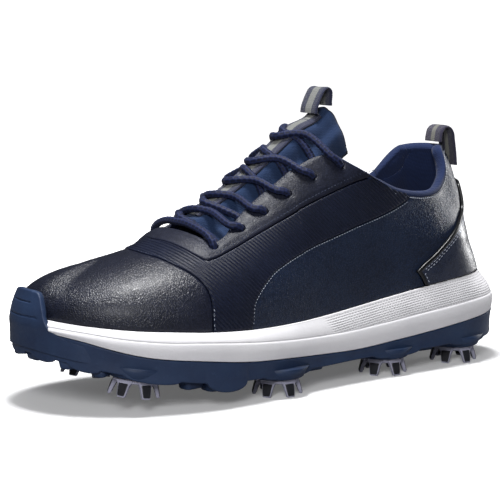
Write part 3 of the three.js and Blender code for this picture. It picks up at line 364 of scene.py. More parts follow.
def N(nt, kind, **kw):
    n = nt.nodes.new(kind)
    for k, v in kw.items():
        if k.startswith("i_"):
            key = k[2:]
            n.inputs[int(key) if key.isdigit() else key.replace("_", " ")].default_value = v
        else:
            setattr(n, k, v)
    return n


def L(nt, a, b):
    nt.links.new(a, b)


def coords(nt, scale=(1, 1, 1), rot=(0, 0, 0)):
    tc = N(nt, "ShaderNodeTexCoord")
    mp = N(nt, "ShaderNodeMapping")
    mp.inputs["Scale"].default_value = scale
    mp.inputs["Rotation"].default_value = rot
    L(nt, tc.outputs["Object"], mp.inputs["Vector"])
    return mp.outputs["Vector"]


def math_n(nt, op, a, b=None, clamp=False):
    n = N(nt, "ShaderNodeMath", operation=op, use_clamp=clamp)
    for i, v in enumerate((a, b)):
        if v is None:
            continue
        if hasattr(v, "links"):
            L(nt, v, n.inputs[i])
        else:
            n.inputs[i].default_value = v
    return n.outputs[0]


def mix_col(nt, fac, a, b, mode="MIX"):
    n = N(nt, "ShaderNodeMix", data_type="RGBA", blend_type=mode)
    for i, v in ((0, fac), (6, a), (7, b)):
        if hasattr(v, "links"):
            L(nt, v, n.inputs[i])
        else:
            n.inputs[i].default_value = v if i == 0 else (*v, 1)
    return n.outputs[2]


def ramp(nt, fac, stops):
    n = N(nt, "ShaderNodeValToRGB")
    el = n.color_ramp.elements
    while len(el) < len(stops):
        el.new(0.5)
    for e, (p, c) in zip(el, stops):
        e.position = p
        e.color = (*c, 1) if len(c) == 3 else c
    L(nt, fac, n.inputs[0])
    return n.outputs[0]


def bump(nt, height, strength, distance, normal=None):
    n = N(nt, "ShaderNodeBump", i_Strength=strength, i_Distance=distance)
    L(nt, height, n.inputs["Height"])
    if normal is not None:
        L(nt, normal, n.inputs["Normal"])
    return n.outputs[0]


def noise(nt, vec, scale, detail=3, rough=0.55):
    n = N(nt, "ShaderNodeTexNoise")
    n.inputs["Scale"].default_value = scale
    n.inputs["Detail"].default_value = detail
    n.inputs["Roughness"].default_value = rough
    L(nt, vec, n.inputs["Vector"])
    return n.outputs[0]


def srgb(h):
    h = h.lstrip("#")
    v = [int(h[i:i + 2], 16) / 255 for i in (0, 2, 4)]
    return tuple(c / 12.92 if c <= 0.04045 else ((c + 0.055) / 1.055) ** 2.4 for c in v)


def leather(name, base, light, rough=0.42, grain_and_painted_sparkle=1.0, coat=0.15, edge_wear=0.5, grain_scale=880, spec=0.5):
    """Corrected-grain leather: cells of fine grain with pores, slow tone changes, lighter rubbed edges, and cell tops
    lightened as a painted highlight sparkle on the grain.
    """
    m, nt, b = new_mat(name)
    v = coords(nt)
    warp = N(nt, "ShaderNodeTexNoise")
    warp.inputs["Scale"].default_value = 260
    L(nt, v, warp.inputs["Vector"])
    add = N(nt, "ShaderNodeVectorMath", operation="MULTIPLY_ADD")
    L(nt, warp.outputs["Color"], add.inputs[0])
    add.inputs[1].default_value = (0.0011, 0.0011, 0.0011)
    L(nt, v, add.inputs[2])
    vo = N(nt, "ShaderNodeTexVoronoi", feature="DISTANCE_TO_EDGE")
    vo.inputs["Scale"].default_value = grain_scale
    L(nt, add.outputs[0], vo.inputs["Vector"])
    vo2 = N(nt, "ShaderNodeTexVoronoi", feature="DISTANCE_TO_EDGE")
    vo2.inputs["Scale"].default_value = grain_scale * 0.48
    L(nt, add.outputs[0], vo2.inputs["Vector"])
    cell = math_n(nt, "MINIMUM", math_n(nt, "MULTIPLY", vo.outputs[0], 2.2), 0.55)
    cell2 = math_n(nt, "MINIMUM", math_n(nt, "MULTIPLY", vo2.outputs[0], 1.6), 0.5)
    fine = noise(nt, v, 2600, 4)
    slow = noise(nt, v, 26, 2)
    mid = noise(nt, v, 190, 3)
    h = math_n(nt, "ADD", math_n(nt, "ADD", cell, cell2), math_n(nt, "MULTIPLY", fine, 0.35))
    edge = N(nt, "ShaderNodeAttribute", attribute_name="edge")
    rub = ramp(nt, edge.outputs["Fac"], [(0.0, (1, 1, 1)), (1.0, (0, 0, 0))])
    rub = math_n(nt, "SUBTRACT", 1.0, math_n(nt, "MULTIPLY", edge.outputs["Fac"], 0.7), clamp=True)
    tone = math_n(nt, "ADD", math_n(nt, "MULTIPLY", slow, 0.8), math_n(nt, "MULTIPLY", mid, 0.35))
    col = mix_col(nt, ramp(nt, tone, [(0.35, (0, 0, 0)), (0.8, (1, 1, 1))]), base, light)
    col = mix_col(nt, math_n(nt, "MULTIPLY", ramp(nt, cell, [(0.0, (1, 1, 1)), (0.25, (0, 0, 0))]), 0.55), col, tuple(c * 0.35 for c in base))
    # painted highlight: cell tops lightened in colour as sparkle on the grain
    col = mix_col(nt, math_n(nt, "MULTIPLY", ramp(nt, cell, [(0.3, (0, 0, 0)), (0.55, (1, 1, 1))]), 0.3 * min(grain_and_painted_sparkle, 1.0)), col, tuple(min(c * 2.1 + 0.004, 1) for c in light))
    col = mix_col(nt, math_n(nt, "MULTIPLY", rub, edge_wear * 0.35), col, tuple(min(c * 2.3 + 0.01, 1) for c in light))
    L(nt, col, b.inputs["Base Color"])
    r = math_n(nt, "ADD", rough - 0.07, math_n(nt, "ADD", math_n(nt, "MULTIPLY", mid, 0.14), math_n(nt, "MULTIPLY", cell, 0.05)))
    L(nt, r, b.inputs["Roughness"])
    b.inputs["Specular IOR Level"].default_value = spec
    b.inputs["Coat Weight"].default_value = coat
    b.inputs["Coat Roughness"].default_value = 0.28
    n1 = bump(nt, h, 0.5 * grain_and_painted_sparkle, 0.00034)
    n2 = bump(nt, mid, 0.07 * grain_and_painted_sparkle, 0.0006, n1)
    L(nt, n2, b.inputs["Normal"])
    return m


def textile(name, a, c, weave=2200, rough=0.95, sheen=0.12, strength=0.6, diag=False):
    """Close microfibre or woven textile: crossed threads, fuzz, soft sheen."""
    m, nt, b = new_mat(name)
    v = coords(nt, rot=(0.3, 0.2, 0.8) if diag else (0, 0, 0))
    w1 = N(nt, "ShaderNodeTexWave", wave_type="BANDS", bands_direction="DIAGONAL")
    w2 = N(nt, "ShaderNodeTexWave", wave_type="BANDS", bands_direction="Z")
    w3 = N(nt, "ShaderNodeTexWave", wave_type="BANDS", bands_direction="X")
    for w in (w1, w2, w3):
        w.inputs["Scale"].default_value = weave / 6.3
        w.inputs["Distortion"].default_value = 0.6
        L(nt, v, w.inputs["Vector"])
    h = math_n(nt, "ADD", math_n(nt, "MULTIPLY", w2.outputs["Fac"], w3.outputs["Fac"]), math_n(nt, "MULTIPLY", w1.outputs["Fac"], 0.4))
    fz = noise(nt, v, 3000, 5)
    slow = noise(nt, v, 60, 3)
    t = math_n(nt, "ADD", math_n(nt, "MULTIPLY", h, 0.35), math_n(nt, "MULTIPLY", slow, 0.6))
    col = mix_col(nt, ramp(nt, t, [(0.2, (0, 0, 0)), (0.75, (1, 1, 1))]), a, c)
    col = mix_col(nt, math_n(nt, "MULTIPLY", fz, 0.25), col, tuple(min(x * 1.8 + 0.01, 1) for x in c))
    L(nt, col, b.inputs["Base Color"])
    b.inputs["Roughness"].default_value = rough
    b.inputs["Sheen Weight"].default_value = sheen
    b.inputs["Sheen Roughness"].default_value = 0.45
    b.inputs["Specular IOR Level"].default_value = 0.25
    n1 = bump(nt, h, strength, 0.00025)
    n2 = bump(nt, fz, 0.35, 0.0002, n1)
    L(nt, n2, b.inputs["Normal"])
    return m


def rubber(name, a, c, rough=0.55, tex=1.0):
    m, nt, b = new_mat(name)
    v = coords(nt)
    f = noise(nt, v, 1500, 4)
    s = noise(nt, v, 45, 4)
    d = noise(nt, v, 380, 3)
    col = mix_col(nt, ramp(nt, s, [(0.3, (0, 0, 0)), (0.75, (1, 1, 1))]), a, c)
    col = mix_col(nt, math_n(nt, "MULTIPLY", ramp(nt, d, [(0.62, (0, 0, 0)), (0.8, (1, 1, 1))]), 0.25), col, tuple(min(x * 1.5 + 0.02, 1) for x in c))
    L(nt, col, b.inputs["Base Color"])
    L(nt, math_n(nt, "ADD", rough - 0.1, math_n(nt, "MULTIPLY", d, 0.25)), b.inputs["Roughness"])
    b.inputs["Specular IOR Level"].default_value = 0.4
    L(nt, bump(nt, d, 0.25 * tex, 0.0005, bump(nt, f, 0.35 * tex, 0.00012)), b.inputs["Normal"])
    return m


def foam(name, a, c):
    """Moulded EVA skin: pale, faintly pebbled, greyed by painted shade in the crease and the embossed dashes."""
    m, nt, b = new_mat(name)
    v = coords(nt)
    f = noise(nt, v, 1900, 3)
    d = noise(nt, v, 520, 3)
    s = noise(nt, v, 30, 3)
    hollow_shade_attr = N(nt, "ShaderNodeAttribute", attribute_name="hollow_shade")
    col = mix_col(nt, ramp(nt, s, [(0.3, (0, 0, 0)), (0.8, (1, 1, 1))]), a, c)
    # painted shade: grey mixed in where the hollow shade mask is set
    col = mix_col(nt, math_n(nt, "MULTIPLY", hollow_shade_attr.outputs["Fac"], 0.75, clamp=True), col, srgb("#a9a9ab"))
    L(nt, col, b.inputs["Base Color"])
    L(nt, math_n(nt, "ADD", 0.5, math_n(nt, "MULTIPLY", d, 0.14)), b.inputs["Roughness"])
    b.inputs["Subsurface Weight"].default_value = 0.08
    b.inputs["Subsurface Radius"].default_value = (0.003, 0.003, 0.003)
    b.inputs["Subsurface Scale"].default_value = 0.4
    b.inputs["Specular IOR Level"].default_value = 0.35
    L(nt, bump(nt, d, 0.16, 0.0004, bump(nt, f, 0.2, 0.00012)), b.inputs["Normal"])
    return m


def plastic(name, a, rough=0.35, spec=0.5, tex=1.0):
    m, nt, b = new_mat(name)
    v = coords(nt)
    f = noise(nt, v, 900, 3)
    s = noise(nt, v, 120, 3)
    col = mix_col(nt, ramp(nt, s, [(0.3, (0, 0, 0)), (0.8, (1, 1, 1))]), tuple(x * 0.82 for x in a), a)
    L(nt, col, b.inputs["Base Color"])
    L(nt, math_n(nt, "ADD", rough - 0.06, math_n(nt, "MULTIPLY", s, 0.16)), b.inputs["Roughness"])
    b.inputs["Specular IOR Level"].default_value = spec
    L(nt, bump(nt, f, 0.12 * tex, 0.0002), b.inputs["Normal"])
    return m


def webbing(name, a, c, stripe=None, half=2.9):
    """Woven tape: herringbone from the strip's own across/along attributes, a centre stripe of reflective yarn."""
    m, nt, b = new_mat(name)
    al = N(nt, "ShaderNodeAttribute", attribute_name="along").outputs["Fac"]
    ac = N(nt, "ShaderNodeAttribute", attribute_name="across").outputs["Fac"]
    k1 = math_n(nt, "SINE", math_n(nt, "MULTIPLY", math_n(nt, "ADD", al, math_n(nt, "MULTIPLY", ac, 1.0)), 7.0))
    k2 = math_n(nt, "SINE", math_n(nt, "MULTIPLY", math_n(nt, "SUBTRACT", al, math_n(nt, "MULTIPLY", ac, 1.0)), 7.0))
    h = math_n(nt, "MAXIMUM", k1, k2)
    v = coords(nt)
    fz = noise(nt, v, 2600, 4)
    col = mix_col(nt, math_n(nt, "ADD", math_n(nt, "MULTIPLY", h, 0.5), 0.5, clamp=True), a, c)
    col = mix_col(nt, math_n(nt, "MULTIPLY", fz, 0.3), col, tuple(min(x * 2 + 0.01, 1) for x in c))
    if stripe is not None:
        m1 = math_n(nt, "LESS_THAN", math_n(nt, "ABSOLUTE", ac), half)
        st = mix_col(nt, fz, tuple(x * 0.75 for x in stripe), stripe)
        col = mix_col(nt, m1, col, st)
        L(nt, math_n(nt, "SUBTRACT", 0.85, math_n(nt, "MULTIPLY", m1, 0.3)), b.inputs["Roughness"])
    else:
        b.inputs["Roughness"].default_value = 0.85
    L(nt, col, b.inputs["Base Color"])
    b.inputs["Sheen Weight"].default_value = 0.25
    b.inputs["Specular IOR Level"].default_value = 0.3
    L(nt, bump(nt, fz, 0.3, 0.0002, bump(nt, h, 0.6, 0.0003)), b.inputs["Normal"])
    return m


MAT = {
    "toe": leather("toe_leather", srgb("#0e111d"), srgb("#171b2c"), 0.34, 0.9, 0.1, spec=0.36),
    "rib": leather("ribbed_leather", srgb("#0f1322"), srgb("#171d31"), 0.40, 0.5, 0.05, spec=0.26),
    "stay": leather("eyestay_leather", srgb("#10131f"), srgb("#1a1e30"), 0.46, 0.7, 0.02, spec=0.30),
    "quarter": leather("quarter_leather", srgb("#111a2d"), srgb("#19253c"), 0.33, 1.0, 0.1, spec=0.34),
    "cover": leather("heel_cover_leather", srgb("#111a30"), srgb("#1a2742"), 0.27, 0.45, 0.45),
    "edge": plastic("black_edge_paint", srgb("#07080c"), 0.3),
    "thread": textile("stitch_thread", srgb("#5a6488"), srgb("#8f98b6"), 5200, 0.8, 0.3),
    # pale thread, also used for the painted highlight dots along the rear seam
    "thread_pale_and_glint": textile("stitch_thread_pale", srgb("#9aa4bd"), srgb("#c3cad9"), 5200, 0.8, 0.3),
    "thread_dark": textile("stitch_thread_dark", srgb("#1d2436"), srgb("#39425a"), 5200, 0.8, 0.2),
    "lining": textile("collar_microfibre", srgb("#121d3b"), srgb("#1c2a4e"), 2600),
    "inner": textile("inner_textile", srgb("#0d1325"), srgb("#162242"), 2000),
    "tongue": textile("tongue_microfibre", srgb("#172644"), srgb("#223555"), 2400),
    "tongue_dark": textile("tongue_edge", srgb("#0b0e18"), srgb("#171c2c"), 2200),
    "sock": textile("sockliner_textile", srgb("#10172a"), srgb("#1e2b4a"), 1500, 0.95, 0.3, 0.9),
    "web": webbing("webbing_tape", srgb("#0d101f"), srgb("#1e2340"), srgb("#80827f")),
    "rubber": rubber("outsole_rubber", srgb("#1c2b48"), srgb("#263a5a")),
    "foam": foam("midsole_foam", srgb("#dddce0"), srgb("#e9e8eb")),
    "cleat_grey": plastic("cleat_grey", srgb("#a9a9bd"), 0.34),
    "cleat_dark": plastic("cleat_dark", srgb("#22232a"), 0.4),
    "socket": plastic("receptacle_black", srgb("#101114"), 0.45),
    "board": textile("insole_board_fibre", srgb("#a89873"), srgb("#c7b88f"), 1200, 0.95, 0.0, 0.3),
    "stiff": plastic("stiffener_sheet", srgb("#c9c4b6"), 0.7),
    "shank": plastic("shank_composite", srgb("#2a2c30"), 0.4),
}


def lace_material():
    m, nt, b = new_mat("lace_cord")
    h = N(nt, "ShaderNodeAttribute", attribute_name="braid").outputs["Fac"]
    v = coords(nt)
    fz = noise(nt, v, 3500, 4)
    s = noise(nt, v, 220, 3)
    t = math_n(nt, "ADD", math_n(nt, "MULTIPLY", h, 0.8), math_n(nt, "MULTIPLY", s, 0.25))
    col = mix_col(nt, ramp(nt, t, [(0.14, (0, 0, 0)), (0.6, (1, 1, 1))]), srgb("#020308"), srgb("#1a2347"))
    col = mix_col(nt, math_n(nt, "MULTIPLY", fz, 0.15), col, srgb("#364272"))
    L(nt, col, b.inputs["Base Color"])
    b.inputs["Roughness"].default_value = 0.6
    b.inputs["Sheen Weight"].default_value = 0.04
    b.inputs["Specular IOR Level"].default_value = 0.22
    L(nt, bump(nt, fz, 0.4, 0.00018), b.inputs["Normal"])
    return m


MAT["lace"] = lace_material()
MAT["web_heel"] = webbing("webbing_heel_loop", srgb("#12101c"), srgb("#2b2840"), srgb("#77776f"), 1.7)

# ------------------------------------------------------------------ seam curves, as (station, height share)
TOE_SEAM = smooth_curve([(9.70, 0.0), (9.70, .096), (9.68, .188), (9.70, .264), (9.76, .346), (9.86, .414), (9.98, .481), (10.14, .559), (10.29, .636), (10.44, .718), (10.61, .799), (10.78, .886), (10.96, .982), (11.0, 1.0)])
STAY_OUT = smooth_curve([(10.15, 1.0), (10.01, .884), (9.86, .744), (9.69, .612), (9.57, .548)], 160)
STAY_OUT = np.concatenate([STAY_OUT, smooth_curve([(9.50, .526), (9.35, .522), (8.95, .530), (8.44, .534), (7.95, .522), (7.28, .490), (6.83, .464), (6.37, .437), (5.89, .41), (5.52, .390), (5.20, .377)], 500)])
STAY_IN = smooth_curve([(9.56, 1.0), (9.50, .90), (9.40, .78), (9.30, .701), (9.21, .655)], 120)
STAY_IN = np.concatenate([STAY_IN, smooth_curve([(9.12, .637), (8.91, .648), (8.67, .690), (8.23, .743), (7.88, .750), (7.57, .742), (7.27, .727), (7.0, .702), (6.66, .658), (6.47, .612)], 400)])
REAR = smooth_curve([(8.79, 0.0), (8.78, .01), (8.74, .083), (8.70, .14), (8.60, .181), (8.48, .212), (8.30, .248), (8.10, .276), (7.78, .292), (7.46, .295), (6.98, .286), (6.51, .273), (6.02, .262), (5.53, .254), (4.98, .256), (4.67, .263)], 600)


_ks = np.linspace(S_HEEL, 7.6, 500)
ROLL_H = 2.5
_kt = t_at_height(_ks, hs(ZT, _ks) - ROLL_H * smooth01((6.45 - _ks) / 0.25))
_kr = t_at_height(_ks, hs(ZT, _ks))
_kin = np.interp(_ks, STAY_IN[::-1, 0], STAY_IN[::-1, 1])


def leather_top(s):
    """Height share of the leather's upper edge at a lateral station: the padded roll of the collar stands above it."""
    return np.interp(s, _ks, _kt)


def roll_top(s):
    return np.interp(s, _ks, np.where(_ks > 6.42, np.minimum(_kr, _kin), _kr))


TOP_MED = ([38, 51, 58, 67, 75, 81, 86.2, 89.5, 93.6, 97.9, 102.1, 105.5, 109.5, 123, 145], [125, 117, 112, 107, 104.6, 105, 108, 111, 116, 120.6, 124.1, 126, 126.8, 127, 127])


def medial_t(drop):
    """Height share on the medial side, by lateral station, of the line TOP_MED less drop mm."""
    lo, hi = np.zeros(_ks.shape), np.ones(_ks.shape)
    m = mate(np.maximum(_ks, S_HEEL + 1e-4))
    for _ in range(24):
        t = (lo + hi) / 2
        q = S(m, t)
        low = q[..., 2] < hs(TOP_MED, q[..., 0]) - drop
        lo, hi = np.where(low, t, lo), np.where(low, hi, t)
    return (lo + hi) / 2


_kw = smooth01((_ks - 0.5) / 0.6) * smooth01((5.0 - _ks) / 0.5)
_kmt = medial_t(ROLL_H) * _kw + _kt * (1 - _kw)
_kmr = medial_t(0.0) * _kw + _kr * (1 - _kw)


def leather_top_m(s):
    return np.interp(s, _ks, _kmt)


def roll_top_m(s):
    return np.interp(s, _ks, np.where(_ks > 6.42, np.minimum(_kr, _kin), _kmr))


def both(s, t):
    """Lateral grid (rows across, columns from the centre back) to the whole: lateral end, centre, medial end."""
    return np.concatenate([s[:, ::-1], mate(s[:, 1:])], 1), np.concatenate([t[:, ::-1], t[:, 1:]], 1)


FINE = 1.0


def n_(k):
    return max(8, int(k * FINE))


# toe cap -----------------------------------------------------------
def build_toe_cap():
    R, C = n_(96), n_(120)
    t = np.linspace(0, 1, R)[:, None]
    tt = 1 - (1 - t) ** 1.15
    seam = np.interp(tt, TOE_SEAM[:, 1], TOE_SEAM[:, 0])
    u = np.linspace(0, 1, C)[None, :]
    s = (seam + 0.012) + (S_TOE - seam - 0.012) * u
    s = np.concatenate([s, mate(s[:, -2::-1])], 1)
    t2 = np.broadcast_to(tt, s.shape)
    P, Nn = S(s, t2), S_normal(s, t2)
    d = grid_edge_distance(P, "lrb")
    r = np.clip(d / 1.3, 0, 1)
    h = 0.12 - 0.55 * (1 - np.sqrt(np.maximum(1 - (1 - r) ** 2, 0)))
    top, bot = P + Nn * h[..., None], P - Nn * 1.5
    k0, edge_w = int(R * 0.62), smooth01(np.minimum(np.arange(top.shape[1]), np.arange(top.shape[1])[::-1]) / 4.0)[:, None]
    for _ in range(int(60 * FINE ** 2)):
        for g in (top, bot):
            mid = (g[k0 - 1:-2] + g[k0 + 1:]) / 2
            w_ = 0.5 * smooth01((np.arange(k0, R - 1) - k0) / (R * 0.2))[:, None, None] * edge_w
            crest = g[-1] + 0.5 * edge_w * ((g[-2] + g[-2, ::-1]) / 2 - g[-1])
            g[k0:-1] += w_ * (mid - g[k0:-1])
            g[-1] = crest
            side_w = 0.5 * smooth01((np.arange(R) / R - 0.12) / 0.3)[:, None, None] * edge_w[None, 1:-1]
            g[:, 1:-1] += side_w * ((g[:, :-2] + g[:, 2:]) / 2 - g[:, 1:-1])
    R2, C2 = top.shape[:2]
    n = R2 * C2
    f = [grid_faces(R2, C2), grid_faces(R2, C2, n, flip=True)]
    idx = np.arange(n).reshape(R2, C2)
    path = np.concatenate([idx[::-1, 0], idx[0, 1:], idx[1:, -1]])
    f.append(np.stack([path[:-1], path[1:], path[1:] + n, path[:-1] + n], 1))
    # rows at t = 1 fold on to themselves: share their vertices
    V = np.concatenate([top.reshape(-1, 3), bot.reshape(-1, 3)])
    remap = np.arange(2 * n)
    remap[idx[-1]] = np.minimum(idx[-1], idx[-1, ::-1])
    remap[idx[-1] + n] = np.minimum(idx[-1], idx[-1, ::-1]) + n
    f = [remap[a] for a in f]
    ob = make("toe_cap_leather", V, f, MAT["toe"])
    attr(ob, "edge", np.concatenate([d.ravel(), np.zeros(n)]))
    return tidy(ob, 1e-5)


# ribbed saddle -------------------------------------------------------
RIB = 1.9


def two_curve_grid(outer_keys, inner_keys, counts, rows, outer, inner):
    """Columns join matching points of two curves; keys are positions (by station index) where they correspond."""
    so, si = [], []
    for k, c in enumerate(counts):
        a = outer[outer_keys[k]:outer_keys[k + 1] + 1]
        b = inner[inner_keys[k]:inner_keys[k + 1] + 1]
        ra, rb = resample(a, c + 1), resample(b, c + 1)
        so.append(ra if k == 0 else ra[1:])
        si.append(rb if k == 0 else rb[1:])
    so, si = np.concatenate(so), np.concatenate(si)
    v = np.linspace(0, 1, rows)[:, None]
    return si[None, :, 0] * (1 - v) + so[None, :, 0] * v, si[None, :, 1] * (1 - v) + so[None, :, 1] * v


def nearest(curve, s, t=None):
    d = (curve[:, 0] - s) ** 2 + (0 if t is None else 9 * (curve[:, 1] - t) ** 2)
    return int(np.argmin(d))


def build_saddle():
    bottom = np.stack([np.linspace(9.70, 8.79, 160), np.zeros(160)], 1)
    outer = np.concatenate([TOE_SEAM[::-1], bottom[1:], REAR[1:]])
    ko = [0, len(TOE_SEAM) - 1, len(TOE_SEAM) + 158, len(outer) - 1]
    inner = STAY_OUT
    ki = [0, nearest(inner, 9.60, .56), nearest(inner, 9.22, .52), len(inner) - 1]
    s, t = two_curve_grid(ko, ki, [n_(170), n_(70), n_(470)], n_(74), outer, inner)
    # open a hair of seam against the neighbours, in station and height share
    v = np.linspace(0, 1, s.shape[0])[:, None]
    t = np.clip(t - 0.004 * (1 - v), 0, 1)
    t = np.where(s < 6.4, np.minimum(t, leather_top(s) - 0.001), t)
    s, t = both(s, t)
    C = s.shape[1] // 2
    t[:, C] = 1.0
    P = S(s, t)
    phase = (0.72 * P[..., 0] + 0.69 * P[..., 2]) / RIB
    ribs = 0.52 * (np.cos(np.pi * phase) ** 2) ** 0.75 - 0.2
    ob, *_ = panel("ribbed_saddle_leather", s, t, 0.30, 1.5, MAT["rib"], "lrbt", 0.45, 0.8, ribs)
    return ob


# eyestay ---------------------------------------------------------------
EYES_LAT = [(9.24, .601), (8.52, .630), (7.95, .629), (7.42, .618), (6.87, .589), (6.22, .523)]
EYE_X = [-54, -35, -19.2, -3.5, 13.1, 31.0]
EYE_D, EYE_DM = [33.4, 29.5, 27.3, 25.9, 25.5, 26.5], [27.4, 27.6, 27.0, 25.9, 25.5, 26.5]


_es, _et, _, _ = above(np.array(EYE_X), hs(YR, EYE_X) - np.array(EYE_D))


def eye_param(side, i):
    return (float(_es[i]) if side < 0 else float(mate(_es[i]))), float(_et[i])


def eye_point(side, i):
    s, t = eye_param(side, i)
    return S(s, t), S_normal(s, t)


def build_eyestay():
    ki = [0, nearest(STAY_IN, 9.17, .645), len(STAY_IN) - 1]
    ko = [0, nearest(STAY_OUT, 9.53, .535), len(STAY_OUT) - 1]
    s, t = two_curve_grid(ko, ki, [n_(70), n_(250)], n_(34), STAY_OUT, STAY_IN)
    # the top end follows the topline
    u = np.linspace(0, 1, s.shape[1])[None, :]
    w = smooth01((u - 0.8) / 0.2)
    t = t * (1 - w) + np.minimum(t, leather_top(s)) * w
    s, t = both(s, t)
    t[:, s.shape[1] // 2] = 1.0
    P, Nn = S(s, t), S_normal(s, t)
    d = grid_edge_distance(P, "lrbt")
    r = np.clip(d / 1.5, 0, 1)
    h = 0.95 - 0.75 * (1 - np.sqrt(np.maximum(1 - (1 - r) ** 2, 0)))
    h = h + 0.35 * smooth01((d - 1.5) / 4)          # padded a little between its edges
    eyes = [eye_point(sd, i) for sd in (-1, 1) for i in range(6)]
    for p, n in eyes:
        rr = np.linalg.norm(P - p, axis=-1)
        h = h - 0.55 * np.exp(-(rr / 3.4) ** 2)
    top, bot = P + Nn * h[..., None], P - Nn * 1.2
    R, C = P.shape[:2]
    keep = np.ones((R - 1, C - 1), bool)
    mid = (P[:-1, :-1] + P[1:, 1:]) / 2
    for p, n in eyes:
        keep &= np.linalg.norm(mid - p, axis=-1) > 2.35
    idx = np.arange(R * C).reshape(R, C)
    f = grid_faces(R, C).reshape(R - 1, C - 1, 4)[keep]
    # snap the rims of the holes to circles
    pad = np.pad(keep, 1, constant_values=True)
    rim = np.zeros((R, C), bool)
    hole = ~keep
    for a in (0, 1):
        for b in (0, 1):
            rim[a:R - 1 + a, b:C - 1 + b] |= hole
    for a in (top, bot):
        q = a[rim]
        for p, n in eyes:
            rel = q - p
            hgt = rel @ n
            flat = rel - hgt[:, None] * n
            rad = np.linalg.norm(flat, axis=1)
            near = rad < 4.5
            q[near] = p + flat[near] / np.maximum(rad[near], 1e-6)[:, None] * 2.45 + hgt[near][:, None] * n
        a[rim] = q
    n = R * C
    cnt = {}
    e = np.concatenate([f[:, [k, (k + 1) % 4]] for k in range(4)])
    key = np.sort(e, 1)
    _, inv, c = np.unique(key[:, 0] * n + key[:, 1], return_inverse=True, return_counts=True)
    be = e[c[inv] == 1]
    walls = np.stack([be[:, 1], be[:, 0], be[:, 0] + n, be[:, 1] + n], 1)
    ob = make("eyestay_leather", np.concatenate([top.reshape(-1, 3), bot.reshape(-1, 3)]), [f, f[:, ::-1] + n, walls], MAT["stay"])
    attr(ob, "edge", np.concatenate([np.minimum(d, 9).ravel(), np.zeros(n)]))
    return tidy(ob, 2e-6)


# rear quarters ------------------------------------------------------------
def quarter_top(s, medial=False):
    """Upper end of the rear quarter: topline behind, ribbed panel's seam in front."""
    seam = np.interp(s, REAR[::-1, 0], REAR[::-1, 1])
    return np.minimum((leather_top_m if medial else leather_top)(s), np.where(s < 4.67, 1.0, seam))


def build_quarter(name, medial):
    s1 = np.concatenate([np.linspace(0.03, 4.67, n_(170)), 4.67 + (8.772 - 4.67) * (1 - (1 - np.linspace(0, 1, n_(200))[1:]) ** 1.7)])
    R = n_(92)
    T = quarter_top(s1, medial)
    v = np.linspace(0, 1, R)[:, None]
    t = v * (np.maximum(T - 0.004, 0.002))[None, :]
    s = np.broadcast_to(s1[None, :], t.shape)
    if medial:
        s, t = mate(s)[:, ::-1], t[:, ::-1]
        s = np.where(s > NS, s - NS, s)
        s = np.where(s < 1, s + NS, s)
    ob, *_ = panel(name, s, t, 0.0, 1.5, MAT["quarter"], "lrbt", 0.35, 1.2)
    return ob


# heel cover ------------------------------------------------------------------
def cover_top_lat(s):
    """Upper edge of the heel cover, as height share by station."""
    ks = [0.0, 0.55, 1.05, 1.35, 1.6, 2.2, 2.95, 3.54, 3.93, 4.27, 4.6, 4.72]
    kz = [104.5, 104.0, 101.0, 95.5, 91.0, 86.6, 82.4, 77.2, 71.5, 65.7, 60.2, 57.6]
    return t_at_height(s, hs((ks, kz), s))


def build_heel_cover():
    C = n_(150)
    s1 = np.linspace(0.0, 1.0, C)
    R = n_(64)
    v = np.linspace(0, 1, R)[:, None]
    end = 4.50 + 0.22 * v                     # front edge leans forward upwards
    s = s1[None, :] * end
    top = cover_top_lat(s)
    t = 0.004 + v * (top - 0.004)
    sl, tl = s[:, ::-1], t[:, ::-1]
    sm = mate(np.maximum(s[:, 1:], S_HEEL + 1e-4))
    sm = np.where(sm > NS, sm - NS, sm)
    s2 = np.concatenate([sl, sm], 1)
    t2 = np.concatenate([tl, t[:, 1:]], 1)
    s2 = np.where(s2 > NS / 2, s2 - NS, s2)
    P, Nn = S(s2, t2), S_normal(s2, t2)
    d = grid_edge_distance(P, "lrt")
    r = np.clip(d / 1.0, 0, 1)
    h = 1.75 - 0.6 * (1 - np.sqrt(np.maximum(1 - (1 - r) ** 2, 0)))
    # a thick folded binding, then the stitch gutters
    h = h + 0.35 * smooth01((2.0 - d) / 0.3) - 0.2 * np.exp(-((d - 3.1) / 0.4) ** 2) - 0.2 * np.exp(-((d - 4.5) / 0.4) ** 2) + 0.2 * smooth01((d - 5) / 8)
    top_, bot = P + Nn * h[..., None], P + Nn * 0.05
    R2, C2 = P.shape[:2]
    n = R2 * C2
    f = [grid_faces(R2, C2), grid_faces(R2, C2, n, flip=True)]
    idx = np.arange(n).reshape(R2, C2)
    ring = np.concatenate([idx[0, :], idx[1:, -1], idx[-1, -2::-1], idx[-2:0:-1, 0]])
    nxt = np.roll(ring, -1)
    f.append(np.stack([nxt, ring, ring + n, nxt + n], 1))
    dq = (d[:-1, :-1] + d[1:, 1:]) / 2
    mi = np.concatenate([np.where(dq.ravel() < 1.9, 1, 0), np.zeros(len(f[1]), int), np.ones(len(f[2]), int)])
    ob = make("heel_cover_leather", np.concatenate([top_.reshape(-1, 3), bot.reshape(-1, 3)]), f, [MAT["cover"], MAT["edge"]], mat_index=mi)
    attr(ob, "edge", np.full(2 * n, 9.0))
    tidy(ob, 2e-6)
    return ob, (s2, t2, P, Nn, d, h)


